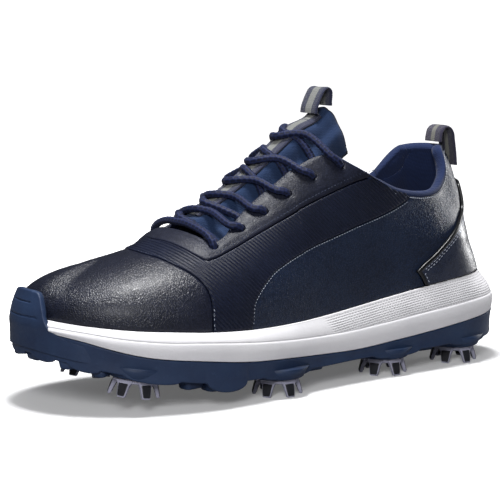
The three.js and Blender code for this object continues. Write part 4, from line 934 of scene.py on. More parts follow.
# stitches --------------------------------------------------------------------
def stitches(name, pts, nrm, pitch=2.4, length=1.8, radius=0.28, mat=None, sink=0.08):
    """Short rounded thread segments along a polyline of points with normals."""
    Lc = np.concatenate([[0], np.cumsum(np.linalg.norm(np.diff(pts, axis=0), axis=-1))])
    starts = np.arange(pitch * 0.3, Lc[-1] - length, pitch)
    V, F, base = [], [], 0
    rings = [(0.0, 0.25, -0.9), (0.12, 0.8, -0.25), (0.5, 1.0, 0.1), (0.88, 0.8, -0.25), (1.0, 0.25, -0.9)]
    k = 6
    for a in starts:
        q = a + length * np.array([r[0] for r in rings])
        c = np.stack([np.interp(q, Lc, pts[:, i]) for i in range(3)], 1)
        nn = np.stack([np.interp(q, Lc, nrm[:, i]) for i in range(3)], 1)
        nn /= np.linalg.norm(nn, axis=1, keepdims=True)
        tg = np.gradient(c, axis=0)
        tg /= np.linalg.norm(tg, axis=1, keepdims=True)
        sd = np.cross(tg, nn)
        th = 2 * np.pi * np.arange(k) / k
        for j, (_, w, up) in enumerate(rings):
            o = c[j] + nn[j] * (up * radius - sink)
            V.append(o + radius * w * (np.cos(th)[:, None] * sd[j] + np.sin(th)[:, None] * nn[j]))
        m = len(rings)
        i = np.arange(k)
        for j in range(m - 1):
            F.append(np.stack([base + j * k + i, base + j * k + (i + 1) % k, base + (j + 1) * k + (i + 1) % k, base + (j + 1) * k + i], 1))
        F.append(np.array([[base, base + 5, base + 4, base + 3], [base, base + 3, base + 2, base + 1]]))
        e = base + (m - 1) * k
        F.append(np.array([[e, e + 1, e + 2, e + 3], [e, e + 3, e + 4, e + 5]]))
        base += m * k
    ob = make(name, np.concatenate(V), [np.concatenate(F)], mat or MAT["thread"])
    return ob


# sole -------------------------------------------------------------------------
def ring_stations(n):
    """Stations round the outline at even arc length."""
    q = np.linspace(S_HEEL, S_HEEL + NS, 6001)
    p = outline(q)
    a = np.concatenate([[0], np.cumsum(np.linalg.norm(np.diff(p, axis=0), axis=1))])
    return np.interp(np.linspace(0, a[-1], n + 1)[:-1], a, q), a[-1]


def z_inset(s, d, z):
    p = inset(s, d)
    return np.concatenate([p, np.asarray(z, float)[..., None]], -1)


def heel_push(s):
    """The sole stands a little fuller at the back of the heel on the lateral side."""
    return 2.1 * smooth01((np.asarray(s) - 0.15) / 0.7) * smooth01((3.3 - np.asarray(s)) / 1.2)


def build_midsole():
    C = n_(1400)
    s, per = ring_stations(C)
    x = outline(s)[:, 0]
    ins = hs(INS, x)
    zf, zm, zb = hs(ZF, x) + 0.15, hs(ZM, x), hs(ZB, x) + 0.35
    zn = hs(ZN, x)
    rows = []

    def row(d, z, k="p"):
        rows.append((np.broadcast_to(np.asarray(d, float), s.shape), np.asarray(z, float), k))
    # underside, in from the lip
    row(5.4, zn + 5.55)
    row(3.9, zb + 0.0)
    row(1.3, zb)
    for a in np.linspace(0, 1, 5)[1:]:                       # rounded lower edge
        row(0.95 - 0.55 * np.sin(a * np.pi / 2), zb + 0.8 * (1 - np.cos(a * np.pi / 2)))
    n1 = n_(14)
    for a in np.linspace(0, 1, n1 + 1)[1:]:                  # lower band, slightly full
        z = zb + 0.8 + (zm - 0.55 - zb - 0.8) * a
        row(0.4 - 0.55 * np.sin(np.pi * a) ** 0.9, z)
    row(0.62, zm - 0.22); row(0.98, zm - 0.02); row(1.12, zm + 0.16); row(1.08, zm + 0.36)
    n2 = n_(40)
    for a in np.linspace(0, 1, n2 + 1)[1:]:                  # upper band, leaning in
        z = zm + 0.45 + (zf - 0.75 - zm - 0.45) * a
        row(1.05 + (ins - 1.9 - 1.05) * (0.25 * a + 0.75 * a ** 1.5) - 0.2 * np.sin(np.pi * a), z, "band%g" % a)
    for a in np.linspace(0, 1, 6)[1:]:                       # rounded top edge
        row(ins - 1.9 + 0.75 * (1 - np.cos(a * np.pi / 2)), zf - 0.75 + 0.75 * np.sin(a * np.pi / 2))
    row(ins - 0.55, zf - 0.1); row(ins - 0.45, zf - 0.6); row(ins - 0.42, zf - 3.5); row(ins - 0.4, zf - FLOOR)
    P = np.stack([z_inset(s, d, z) for d, z, _ in rows])
    R = len(rows)
    out = np.concatenate([outward(s), np.zeros((C, 1))], 1)
    hollow_shade = np.zeros((R, C))
    zz = P[..., 2]
    # crease shade
    hollow_shade = np.maximum(hollow_shade, 0.55 * np.exp(-((zz - zm - 0.12) / 0.32) ** 2))
    # embossed brick dashes in the upper band, from the arch back round the heel
    arc = np.arange(C) / C * per
    for r, (d, z, k) in enumerate(rows):
        if not k.startswith("band"):
            continue
        hz = (zf - 0.9) - P[r, :, 2]
        bandh = zf - zm - 1.6
        rowi = np.floor(hz / 1.28)
        fz = hz / 1.28 - rowi
        u = arc / 2.05 + 0.5 * np.mod(rowi, 2)
        fu = u - np.floor(u)
        dash = smooth01((0.40 - np.abs(fu - 0.5)) / 0.16) * smooth01((0.34 - np.abs(fz - 0.5)) / 0.2)
        gx = smooth01((x - 6) / 14.0)
        vert = smooth01((hz + 0.2) / 0.9) * smooth01((bandh - hz + 0.7) / 0.9)
        front = smooth01((x - 6 - hz * 0.6) / 6)
        g = dash * vert * front
        P[r] -= out * (0.34 * g)[:, None]
        # painted shade greying the pressed-in dashes
        hollow_shade[r] = np.maximum(hollow_shade[r], 0.62 * g)
    n = R * C
    d0 = np.abs(s - S_TOE)
    for r, (d, z, k) in enumerate(rows):
        need = np.maximum(0, 3.45 - d) * smooth01((hs(BUMP_TOP, d0) - 1.0 - P[r, :, 2]) / 0.8) * (d0 < 2.6)
        P[r] -= out * need[:, None]
    P[..., :2] += (outward(s) * heel_push(s)[:, None])[None] * (smooth01((zf - P[..., 2]) / (zf - zm)))[..., None]
    # floor and underside discs: ladders between paired columns
    f = [grid_faces(R, C, 0, close_c=True)]
    ob_faces_top, ob_faces_bot = ladder(s, (R - 1) * C), ladder(s, 0)
    f += [ob_faces_top, ob_faces_bot[:, ::-1]]
    # cut away for the turned-up rubber at the toe
    V = P.reshape(-1, 3)
    ob = make("midsole_foam", V, f, MAT["foam"])
    attr(ob, "hollow_shade", hollow_shade.ravel())
    return tidy(ob, 1e-6)


def ladder(s, base):
    """Quads across a ring of stations, joining opposite sides by their outline x."""
    x = outline(s)[:, 0]
    C = len(s)
    toe = int(np.argmin(x))
    a, b = list(range(0, toe + 1)), [0] + list(range(C - 1, toe, -1)) + [toe]
    f, i, j = [], 0, 0
    while i < len(a) - 1 or j < len(b) - 1:
        ni = i + 1 < len(a)
        nj = j + 1 < len(b)
        if ni and (not nj or x[a[i + 1]] >= x[b[j + 1]]):
            f.append((a[i], a[i + 1], b[j])); i += 1
        else:
            f.append((a[i], b[j + 1], b[j])); j += 1
    f = np.array([t for t in f if len(set(t)) == 3])
    return f[:, ::-1] + base


BUMP_TOP = ([0, 0.5, 0.66, 0.74, 0.80, 0.87, 0.93, 0.99, 1.1, 1.3, 1.5, 1.8, 2.2, 2.6], [62.3, 62.0, 61.2, 59.4, 57.0, 53.8, 50.6, 47.8, 44.6, 41.7, 39.6, 37.6, 35.8, 34.0])


def build_outsole_wall():
    """Rubber cup edge with its lip, the plate's underside and the scalloped lower rim."""
    C = n_(900)
    s, per = ring_stations(C)
    x = outline(s)[:, 0]
    zb, zn = hs(ZB, x), hs(ZN, x)
    o = outline(s)
    # lower rim dips in rounded scallops where a cleat seat or an edge lug reaches the side
    dip = np.zeros(C)
    for cx, cy, w, dep in [(-104, -50, 15, 2.4), (-62, -56, 12.5, 5.0), (-20, -52, 17, 2.6), (61, -44, 17, 2.4), (117, -40, 15, 2.0), (-134, -30, 9, 2.6), (-146, -8, 8, 2.6), (-148, 12, 8, 2.6),
                           (-99, 51, 15, 2.4), (-70, 52, 12, 3.0), (-36, 46, 16, 2.4), (61, 37, 16, 2.4), (116, 37, 15, 2.0), (-140, 36, 9, 2.6), (148, 0, 9, 3.6)]:
        q = np.hypot(o[:, 0] - cx, o[:, 1] - cy) / w
        dip = np.maximum(dip, dep * np.sqrt(np.maximum(1 - q ** 2, 0)))
    rows = []

    def row(d, z):
        rows.append(z_inset(s, np.broadcast_to(np.asarray(d, float), s.shape), np.asarray(z, float)))
    row(11.0, zn + 0.35)
    row(7.0, zn + 0.2)
    row(4.2, zn - 0.25 * dip)
    row(3.0, zn - 0.75 * dip)
    row(2.2, zn - dip + 0.1)
    for a in np.linspace(0, 1, 5)[1:]:
        row(2.2 - 1.0 * np.sin(a * np.pi / 2), zn - dip + 0.1 + 0.9 * (1 - np.cos(a * np.pi / 2)))
    for a in np.linspace(0, 1, n_(16) + 1)[1:]:
        z = (zn - dip + 1.0) * (1 - a) + (zb - 0.45) * a
        row(1.2 - 0.75 * a + 0.45 * np.sin(np.pi * a), z)
    row(0.55, zb - 0.18); row(0.85, zb - 0.02); row(1.3, zb); row(3.3, zb); row(3.45, zb - 0.2); row(4.6, zn + 5.2)
    P = np.stack(rows)
    R = len(rows)
    P[2:-1, :, :2] += (outward(s) * heel_push(s)[:, None])[None]
    P[3:-7, :, :2] += (outward(s) * (0.9 * np.sqrt(np.maximum(1 - ((o[:, 0] + 62) / 13.0) ** 2, 0)) * (o[:, 1] < 0))[:, None])[None] * smooth01((24 - P[3:-7, :, 2]) / 8)[..., None]
    f = [grid_faces(R, C, 0, close_c=True), ladder(s, (R - 1) * C), ladder(s, 0)[:, ::-1]]
    return make("outsole_cup", P.reshape(-1, 3), f, MAT["rubber"])


def build_bumper():
    """Rubber turned up over the toe: ribbed by two grooves, sweeping down into the cup edge on both sides."""
    C = n_(150)
    s = S_TOE + np.linspace(-2.35, 2.35, C)
    d0 = np.abs(s - S_TOE)
    zt = hs(BUMP_TOP, d0)
    x = outline(s)[:, 0]
    zb = hs(ZN, x) + 3.0

    def lean(z):
        return np.maximum(0, (z - 44) / 18) ** 1.4 * 4.6
    rows = []
    A = n_(130)
    for a in np.linspace(0, 1, A):
        z = zb + (zt - 0.5 - zb) * a
        g = 0.8 * np.exp(-((z - 56.4) / 0.33) ** 2) * smooth01((0.5 - d0) / 0.12) + 0.8 * np.exp(-((z - 49.2) / 0.33) ** 2) * smooth01((0.8 - d0) / 0.12)
        bul = 0.5 * smooth01((z - 40) / 6) * smooth01((60 - z) / 8)
        rows.append(z_inset(s, lean(z) + 0.15 + g - bul * 0.6 + 1.6 * smooth01((d0 - 1.7) / 0.55), z))
    for a in np.linspace(0, 1, 5)[1:]:
        rows.append(z_inset(s, lean(zt) + 0.15 + 1.6 * smooth01((d0 - 1.7) / 0.55) + 0.9 * (1 - np.cos(a * np.pi / 2)), zt - 0.5 + 0.5 * np.sin(a * np.pi / 2)))
    top_in = np.where(zt > 51, 9.5, 3.6)
    rows.append(z_inset(s, np.maximum(lean(zt) + 1.6, np.minimum(top_in, lean(zt) + 3.2)), zt - 0.35))
    rows.append(z_inset(s, np.where(zt > 51, lean(zt) + 3.4, 3.6), np.minimum(zt - 1.6, zt * 0 + 60)))
    rows.append(z_inset(s, np.full(C, 3.6), np.minimum(49.2, zt - 0.9)))
    rows.append(z_inset(s, np.full(C, 3.6), zb))
    P = np.stack(rows)
    R = len(rows)
    n = R * C
    idx = np.arange(n).reshape(R, C)
    f = [grid_faces(R, C)]
    nx = np.concatenate([idx[-1][:, None], idx[0][:, None]], 1)
    f.append(np.stack([idx[-1][:-1], idx[-1][1:], idx[0][1:], idx[0][:-1]], 1))
    ob = make("toe_bumper_rubber", P.reshape(-1, 3), f, MAT["rubber"])
    # flat ends
    bm = bmesh.new()
    bm.from_mesh(ob.data)
    bmesh.ops.holes_fill(bm, edges=[e for e in bm.edges if e.is_boundary], sides=0)
    bmesh.ops.triangulate(bm, faces=[q for q in bm.faces if len(q.verts) > 4])
    bm.to_mesh(ob.data)
    bm.free()
    return tidy(ob, 1e-6)


LUGS = [
    (-143, 2, 9, 12, 0.1, 2), (-141, 23, 10, 9, -0.5, 2), (-134, -16, 12, 9, 0.75, 2.2), (-128, 34, 12, 9, -0.8, 2.4), (-122, -29, 11, 8, 0.55, 2.8), (-122, 4, 10, 12, 0, 3), (-78, -45, 14, 10, 0.15, 4),
    (-62, -47, 22, 13, 0.05, 4.6), (-76, 39, 20, 12, -0.1, 4.4), (-66, 4, 13, 15, 0.2, 4.2), (-84, -8, 9, 11, 0.2, 3.6), (-86, 14, 9, 9, -0.2, 3.6), (-44, 8, 11, 13, 0, 4.2), (-44, -24, 10, 9, 0.3, 4),
    (4, -38, 14, 8, 0.1, 2.8), (-8, 28, 14, 8, -0.2, 2.8), (88, -31, 13, 8, 0, 3), (88, 27, 13, 8, 0, 3), (94, -6, 12, 15, 0, 5.2), (139, -12, 9, 10, -0.5, 4.6), (140, 9, 9, 10, 0.4, 4.6), (128, 0, 8, 10, 0, 4),
]


def rounded_block(l, w, h0, h1, r, taper, k=6):
    """Rounded-rectangle lug from height h0 (tip) to h1 (root), with a bevelled tip."""
    def loop(sc, inset_):
        pts = []
        L2, W2, rr = l / 2 * sc - inset_, w / 2 * sc - inset_, max(r * sc - inset_ * 0.6, 0.4)
        for cx, cy, a0 in ((L2 - rr, W2 - rr, 0), (-L2 + rr, W2 - rr, np.pi / 2), (-L2 + rr, -W2 + rr, np.pi), (L2 - rr, -W2 + rr, 1.5 * np.pi)):
            for a in a0 + np.linspace(0, np.pi / 2, k):
                pts.append((cx + rr * np.cos(a), cy + rr * np.sin(a)))
        return np.array(pts)
    rings = [(1 - taper, 1.3, h0), (1 - taper, 0.45, h0 + 0.25), (1 - taper, 0.0, h0 + 0.9), (1.0, 0, h1)]
    out = []
    for sc, ins_, h in rings:
        q = loop(sc, ins_)
        out.append(np.concatenate([q, np.full((len(q), 1), h)], 1))
    return np.stack(out)


def build_lugs():
    V, F, base = [], [], 0
    for x, y, l, w, a, drop in LUGS:
        zb = float(hs(ZN, x))
        P = rounded_block(l, w, -drop, 2.2, min(l, w) * 0.3, 0.14)
        R, C = P.shape[:2]
        c, sn = math.cos(a), math.sin(a)
        Q = P.copy()
        Q[..., 0] = x + P[..., 0] * c - P[..., 1] * sn
        Q[..., 1] = y + P[..., 0] * sn + P[..., 1] * c
        Q[..., 2] = zb + P[..., 2]
        V.append(Q.reshape(-1, 3))
        F.append(grid_faces(R, C, base, close_c=True)[:, ::-1])
        m = C // 2
        k = np.arange(m - 1)
        F.append(np.stack([base + k, base + k + 1, base + C - 2 - k, base + C - 1 - k], 1))
        top = base + (R - 1) * C
        F.append(np.stack([top + k, top + C - 1 - k, top + C - 2 - k, top + k + 1], 1))
        base += R * C
    ob = make("outsole_lugs", np.concatenate(V), [np.concatenate(F)], MAT["rubber"])
    return tidy(ob, 1e-6)


def cleat_frame(i):
    x, y, z, tilt = CLEATS[i]
    a = math.radians(tilt)
    up = np.array([math.sin(a), 0, math.cos(a)])
    ex = np.array([math.cos(a), 0, -math.sin(a)])
    return np.array([x, y, z]), ex, np.array([0, 1.0, 0]), up


def lathe(profile, n, frame_=None):
    pr = np.asarray(profile, float)
    th = 2 * np.pi * np.arange(n) / n
    P = np.stack([np.outer(pr[:, 0], np.cos(th)), np.outer(pr[:, 0], np.sin(th)), np.repeat(pr[:, 1:2], n, 1)], -1)
    return P


def build_bosses():
    """Round raised cleat seats on the outsole, dished round each cleat."""
    V, F, base = [], [], 0
    for i in range(8):
        o, ex, ey, up = cleat_frame(i)
        prof = [(0.0, 5.2), (RH - 0.2, 5.2), (RH, 4.9), (RH, 1.2), (RH + 0.5, 0.75), (12.3, 0.7), (12.7, 0.35), (13.9, 0.35), (14.5, 0.8), (15.6, 3.2), (17.5, 6.4), (0, 6.4)]
        P = lathe(prof, 64)
        R, C = P.shape[:2]
        Q = o + P[..., 0:1] * ex + P[..., 1:2] * ey + P[..., 2:3] * up
        V.append(Q.reshape(-1, 3))
        F.append(grid_faces(R, C, base, close_c=True))
        base += R * C
    ob = make("outsole_cleat_seats", np.concatenate(V), [np.concatenate(F)], MAT["rubber"])
    return tidy(ob, 1e-6)


RH = 8.3


def build_cleat(i):
    """Screw-in cleat: grey ring and hub, six splayed legs webbed to the ring, dark pads on the legs."""
    o, ex, ey, up = cleat_frame(i)
    bm = bmesh.new()
    V, F, MI, base = [], [], [], 0

    def add(Pg, faces, mi):
        nonlocal base
        V.append(Pg.reshape(-1, 3))
        for q in faces:
            F.append(q + base)
            MI.append(np.full(len(q), mi))
        base += Pg.reshape(-1, 3).shape[0]
    prof = [(0, -1.9), (2.2, -1.9), (2.6, -2.3), (3.6, -2.9), (5.6, -2.9), (6.4, -2.5), (7.4, -2.2), (9.6, -2.3), (10.9, -2.3), (11.45, -2.0), (11.65, -1.5), (11.65, -0.45), (11.4, -0.1), (10.9, 0.0), (4.7, 0.0), (4.6, 3.0), (4.3, 3.2), (0, 3.2)]
    P = lathe(prof, 48)
    add(P, [grid_faces(P.shape[0], P.shape[1], 0, close_c=True)[:, ::-1]], 0)
    for k in range(6):
        t = k * math.pi / 3 + math.pi / 6
        u, v = np.array([math.cos(t), math.sin(t), 0]), np.array([-math.sin(t), math.cos(t), 0])
        w = np.array([0, 0, 1.0])
        # sections down the leg: (height, inner radius, outer radius, half width)
        sec = [(-0.6, 8.6, 11.5, 4.9), (-1.6, 8.7, 11.6, 4.5), (-2.6, 9.1, 11.8, 3.7), (-3.8, 9.8, 12.2, 3.2), (-5.6, 10.6, 12.75, 2.9), (-7.6, 11.3, 13.3, 2.6), (-9.0, 11.75, 13.6, 2.35), (-9.38, 12.0, 13.45, 2.0)]
        rings = []
        for h, r0, r1, hw in sec:
            c = 0.35
            pts = [(r0, -hw + c), (r0 + c, -hw), (r1 - c, -hw), (r1, -hw + c), (r1, hw - c), (r1 - c, hw), (r0 + c, hw), (r0, hw - c)]
            rings.append([u * a + v * b + w * h for a, b in pts])
        P = np.array(rings)
        R, C = P.shape[:2]
        caps = np.array([[0, 1, 2, 3], [0, 3, 4, 7], [4, 5, 6, 7]])
        e = (R - 1) * C
        add(P, [grid_faces(R, C, 0, close_c=True)[:, ::-1], caps, caps[:, ::-1] + e], 0)
        # dark pad on the outer face, standing a little proud, and its pale tip left bare
        secp = [(-2.3, 11.35, 12.0, 2.7), (-3.0, 11.5, 12.3, 2.75), (-4.4, 12.0, 12.75, 2.55), (-6.4, 12.6, 13.25, 2.35), (-8.3, 13.1, 13.68, 2.05), (-8.75, 13.15, 13.5, 1.8)]
        rings = []
        for h, r0, r1, hw in secp:
            pts = [(r0, -hw), (r1 - 0.2, -hw), (r1, -hw + 0.25), (r1, hw - 0.25), (r1 - 0.2, hw), (r0, hw)]
            rings.append([u * a + v * b + w * h for a, b in pts])
        P = np.array(rings)
        R, C = P.shape[:2]
        caps = np.array([[0, 1, 2, 3], [0, 3, 4, 5]])
        e = (R - 1) * C
        add(P, [grid_faces(R, C, 0, close_c=True)[:, ::-1], caps, caps[:, ::-1] + e], 1)
        # dark inner face pad
        secp = [(-3.0, 8.9, 9.8, 2.5), (-4.4, 9.75, 10.6, 2.4), (-6.4, 10.65, 11.4, 2.2), (-8.2, 11.25, 11.9, 1.9)]
        rings = []
        for h, r0, r1, hw in secp:
            rings.append([u * a + v * b + w * h for a, b in [(r0, -hw), (r1, -hw), (r1, hw), (r0, hw)]])
        P = np.array(rings)
        R, C = P.shape[:2]
        caps = np.array([[0, 1, 2, 3]])
        e = (R - 1) * C
        add(P, [grid_faces(R, C, 0, close_c=True)[:, ::-1], caps, caps[:, ::-1] + e], 1)
    V_ = np.concatenate(V)
    Q = o + V_[:, 0:1] * ex + V_[:, 1:2] * ey + V_[:, 2:3] * up
    ob = make("cleat_%d_legs" % (i + 1), Q, F, [MAT["cleat_grey"], MAT["cleat_dark"]], mat_index=np.concatenate(MI))
    tidy(ob, 1e-7)
    for p in ob.data.polygons:
        p.use_smooth = False
    return ob


# lining, footbed and padding --------------------------------------------------
_rng = np.random.default_rng(11)
_WK = [(_rng.normal(size=3), _rng.uniform(0, 6.28)) for _ in range(14)]


def soft(P, wave):
    """Smooth unevenness of a padded or stretched cloth, about -1 to 1, wavelength in mm."""
    q = np.zeros(P.shape[:-1])
    for i, (k, ph) in enumerate(_WK):
        k = k / np.linalg.norm(k) * 2 * np.pi / wave * (0.6 + 0.11 * i)
        q += np.sin(P @ k + ph) / (1 + 0.15 * i)
    return q / 4.2


def inboard_extra(x):
    return hs(([-150, 0, 30, 150], [5.2, 5.4, 7.2, 7.6]), x)


def build_collar():
    """Padded collar and quarter lining: outer layer under the leather, the roll over its edge, the padded inner wall down to the footbed."""
    C1 = n_(520)
    sl = np.linspace(6.95, S_HEEL + 1e-4, C1)
    s = np.concatenate([sl, mate(sl[::-1][1:])])
    ss = np.concatenate([sl, sl[::-1][1:]])
    T = np.concatenate([roll_top(sl), roll_top_m(sl[::-1][1:])])
    TL = np.minimum(np.concatenate([leather_top(sl), leather_top_m(sl[::-1][1:])]), T - 0.004)
    h = ROLL_H * smooth01((6.5 - ss) / 0.3)
    th = 2.9 + 3.3 * smooth01((6.0 - ss) / 1.1)
    x = outline(s)[:, 0]
    ins, zf = hs(INS, x), hs(ZF, x)
    zero = np.zeros_like(ss)
    db = inboard_extra(x) - 0.45
    rows, pushes = [], []

    def wall(t, depth, push=0.0):
        t = zero + t
        P, Nn = S(s, t), S_normal(s, t)
        rows.append(P - Nn * (zero + depth)[:, None])
        pushes.append((Nn, zero + push))

    def low(d, z):
        rows.append(z_inset(s, ins + d, z))
        pushes.append((np.concatenate([outward(s), np.zeros((len(s), 1))], 1), zero))
    low(zero + 1.75, zf - FLOOR + 2.9)
    low(zero + 1.7, zf - 1.0)
    for a in (0.02, 0.3, 0.6, 0.85, 0.985):
        wall(TL * a, 1.62)
    P0, N0 = S(s, T), S_normal(s, T)
    U0 = S(s, T) - S(s, T - 0.01)
    U0 = U0 - N0 * np.sum(U0 * N0, -1, keepdims=True)
    U0 /= np.linalg.norm(U0, axis=-1, keepdims=True)
    K = n_(22)
    for phi in np.linspace(-0.55, np.pi, K):
        c, sn = math.cos(phi), math.sin(phi)
        nn = -th / 2 + (th / 2 + 0.12 * (h > 0)) * c
        uu = -h + h * (abs(sn) ** 0.85 * (1 if sn > 0 else -1))
        rows.append(P0 + N0 * nn[:, None] + U0 * uu[:, None])
        pushes.append((N0 * c + U0 * max(sn, 0), 0.22 * smooth01(zero + (phi + 0.2) / 0.8)))
    K2 = n_(64)
    for a in np.linspace(0, 1, K2 + 1)[1:]:
        t = TL * (1 - a) ** 1.0
        up = 1 - a
        pad = smooth01((6.1 - ss) / 1.4)
        dd = th + pad * 1.9 * np.sin(np.pi * np.clip(a / 0.42, 0, 1)) ** 1.2
        dd = dd * (1 - smooth01(zero + (a - 0.5) / 0.5)) + db * smooth01(zero + (a - 0.5) / 0.5)
        dd = dd - pad * 0.8 * math.exp(-((a - 0.46) / 0.02) ** 2)          # seam below the pad
        wall(t, dd, 0.3 * (1 - a * 0.6))
    for z in (2.0, 4.0, FLOOR - 2.9):
        low(db, zf - z)
    P = np.stack(rows)
    Nn = np.stack([p[0] for p in pushes])
    amp = np.stack([p[1] for p in pushes])
    R, C = P.shape[:2]
    P = P + Nn * (amp * (0.7 * soft(P, 26.0) + 0.45 * soft(P, 11.0)))[..., None]
    f = [grid_faces(R, C)]
    idx = np.arange(R * C).reshape(R, C)
    f.append(np.stack([idx[-1, :-1], idx[-1, 1:], idx[0, 1:], idx[0, :-1]], 1))
    f.append(ring_cap(idx[:, 0]))
    f.append(ring_cap(idx[:, -1])[:, ::-1])
    ob = make("collar_padding", P.reshape(-1, 3), f, MAT["lining"])
    return tidy(ob, 1e-6), (P0, N0, U0, s, ss)


def ring_cap(loop):
    """Triangles zig-zagging across a closed loop of vertex indices."""
    a, b, f = 0, len(loop) - 1, []
    while b - a > 1:
        f.append((loop[a], loop[a + 1], loop[b]))
        a += 1
        if b - a > 1:
            f.append((loop[a], loop[b - 1], loop[b]))
            b -= 1
    return np.array(f)


def build_vamp_lining():
    sl = np.concatenate([np.linspace(6.9, 9.4, n_(90)), np.linspace(9.4, S_TOE, n_(90))[1:]])
    top = np.interp(sl, STAY_IN[::-1, 0], STAY_IN[::-1, 1])
    top = np.where(sl > 9.56, 1.0, top + 0.0)
    w = smooth01((sl - 9.42) / 0.5)
    top = np.clip(top * (1 - w) + 1.0 * w, 0, 1)
    v = np.linspace(0, 1, n_(60))[:, None]
    t = 0.012 + v * (top[None, :] - 0.012 - 0.012)
    s = np.broadcast_to(sl[None, :], t.shape)
    s, t = np.concatenate([s, mate(s[:, -2::-1])], 1), np.concatenate([t, t[:, -2::-1]], 1)
    ob, *_ = panel("vamp_lining_cloth", s, t, -2.95, 0.8, MAT["inner"], "lrbt", 0.2, 0.6)
    return ob


def build_sockliner():
    C = n_(420)
    s, per = ring_stations(C)
    x = outline(s)[:, 0]
    ib = hs(INS, x) + inboard_extra(x)
    fl = hs(ZF, x) - FLOOR
    top = hs(([-150, -20, 40, 150], [6.6, 7.2, 9.6, 9.6]), x)
    rows = [z_inset(s, ib + 1.2, fl + 2.62), z_inset(s, ib + 0.7, fl + 2.7), z_inset(s, ib + 0.4, fl + 5.2), z_inset(s, ib + 0.45, fl + top - 0.4), z_inset(s, ib + 0.8, fl + top - 0.05), z_inset(s, ib + 1.5, fl + top - 0.12)]
    for a in np.linspace(0, 1, 9)[1:]:
        rows.append(z_inset(s, ib + 1.5 + 8 * a, fl + (top - 0.12) * (1 - smooth01(a)) + 6.4 * smooth01(a)))
    P = np.stack(rows)
    P[7:, :, 2] += 0.12 * soft(P[7:], 18.0)
    R = len(rows)
    ob = make("sockliner_topcloth", P.reshape(-1, 3), [grid_faces(R, C, 0, close_c=True), ladder(s, (R - 1) * C), ladder(s, 0)[:, ::-1]], MAT["sock"])
    return tidy(ob, 1e-6)


# tongue -------------------------------------------------------------------------
def tongue_half(x):
    return hs(([-51, -45, -38, -27, -10, 10, 25, 36], [26, 31.5, 30, 27.2, 26, 25.5, 26, 25]), x)


_GX, _GY = np.linspace(-63, 54, 79), np.linspace(-42, 42, 57)
_gs, _gt, _gP, _gN = above(_GX[:, None] + 0 * _GY[None, :], hs(YR, _GX)[:, None] + _GY[None, :])
_GRID = np.concatenate([_gP, _gN], -1)


def cubic_w(t):
    return [0.5 * (-t + 2 * t ** 2 - t ** 3), 0.5 * (2 - 5 * t ** 2 + 3 * t ** 3), 0.5 * (t + 4 * t ** 2 - 3 * t ** 3), 0.5 * (-t ** 2 + t ** 3)]


def instep(x, dy):
    """Point and normal of the upper's surface over plan x and dy from the ridge, from the table."""
    x, dy = np.broadcast_arrays(np.asarray(x, float), np.asarray(dy, float))
    a = (x - _GX[0]) / (_GX[1] - _GX[0])
    b = (dy - _GY[0]) / (_GY[1] - _GY[0])
    i, j = np.clip(a.astype(int), 1, len(_GX) - 3), np.clip(b.astype(int), 1, len(_GY) - 3)
    wa, wb = cubic_w((a - i)[..., None]), cubic_w((b - j)[..., None])
    q = 0
    for m in range(4):
        for n in range(4):
            q = q + wa[m] * wb[n] * _GRID[i + m - 1, j + n - 1]
    Nn = q[..., 3:]
    return q[..., :3], Nn / np.linalg.norm(Nn, axis=-1, keepdims=True)


def over_instep(x0, x1, half, r, c):
    x = np.linspace(x0, x1, r)[:, None]
    v = np.linspace(-1, 1, c)[None, :]
    y = v * half(x)
    xw = x + np.maximum(0, (x - 8) / 28) * 7.5 * np.maximum(0, (np.abs(y) - 6) / 19) ** 1.2
    xw = np.minimum(xw + 3.0 * np.maximum(0, (np.abs(y) - 18) / 7) ** 1.3 * smooth01((x - 8) / 20), 53.0)
    P, Nn = instep(xw, y)
    return P, Nn, xw, y


def crown(x, y):
    """How far the padded tongue stands up between the eyestay edges, under the strap."""
    return 4.2 * smooth01((15 - np.abs(y)) / 8) * smooth01((x + 58) / 9) * smooth01((30 - x) / 12)


def build_tongue():
    R, C = n_(230), n_(130)
    P, Nn, X, Y = over_instep(-51, 36.6, tongue_half, R, C)
    d = grid_edge_distance(P, "lrbt")
    d_side = grid_edge_distance(P, "lr")
    sink = smooth01((np.abs(Y) - 8) / 8)
    e = 1 - np.sqrt(np.maximum(1 - (1 - np.clip(d / 2.6, 0, 1)) ** 2, 0))
    pad = 0.9 * smooth01(d / 7) * smooth01((np.abs(Y) - 7.4) / 5)
    press = sum(np.exp(-((X - a) / 3.6) ** 2) for a in (-44.5, -27, -11.3, 4.8, 22))
    dout = -3.0 - 4.4 * sink - 2.0 * e + pad - 0.5 * press * smooth01((np.abs(Y) - 7) / 6) + 0.22 * soft(P, 21) * smooth01(d / 4) * smooth01((np.abs(Y) - 7.6) / 4)
    seam = np.exp(-((d_side - 4.6) / 0.35) ** 2) * 0.35
    dout = dout - seam + crown(X, Y)
    din = -8.6 - 3.2 * sink + 2.0 * e
    tuck = 6.5 * smooth01((np.abs(Y) - 18) / 8) * smooth01((X - 18) / 16)
    dout, din = dout - tuck, din - tuck
    top, bot = P + Nn * dout[..., None], P + Nn * din[..., None]
    n = R * C
    f = [grid_faces(R, C), grid_faces(R, C, n, flip=True)]
    idx = np.arange(n).reshape(R, C)
    ring = np.concatenate([idx[0, :], idx[1:, -1], idx[-1, -2::-1], idx[-2:0:-1, 0]])
    nxt = np.roll(ring, -1)
    f.append(np.stack([nxt, ring, ring + n, nxt + n], 1))
    dq = (d[:-1, :-1] + d[1:, 1:]) / 2
    band = (dq.ravel() < 1.7).astype(int)
    ob = make("tongue_padded", np.concatenate([top.reshape(-1, 3), bot.reshape(-1, 3)]), f, [MAT["tongue"], MAT["tongue_dark"]], mat_index=np.concatenate([band, band, np.ones(len(f[2]), int)]))
    return tidy(ob, 1e-6)


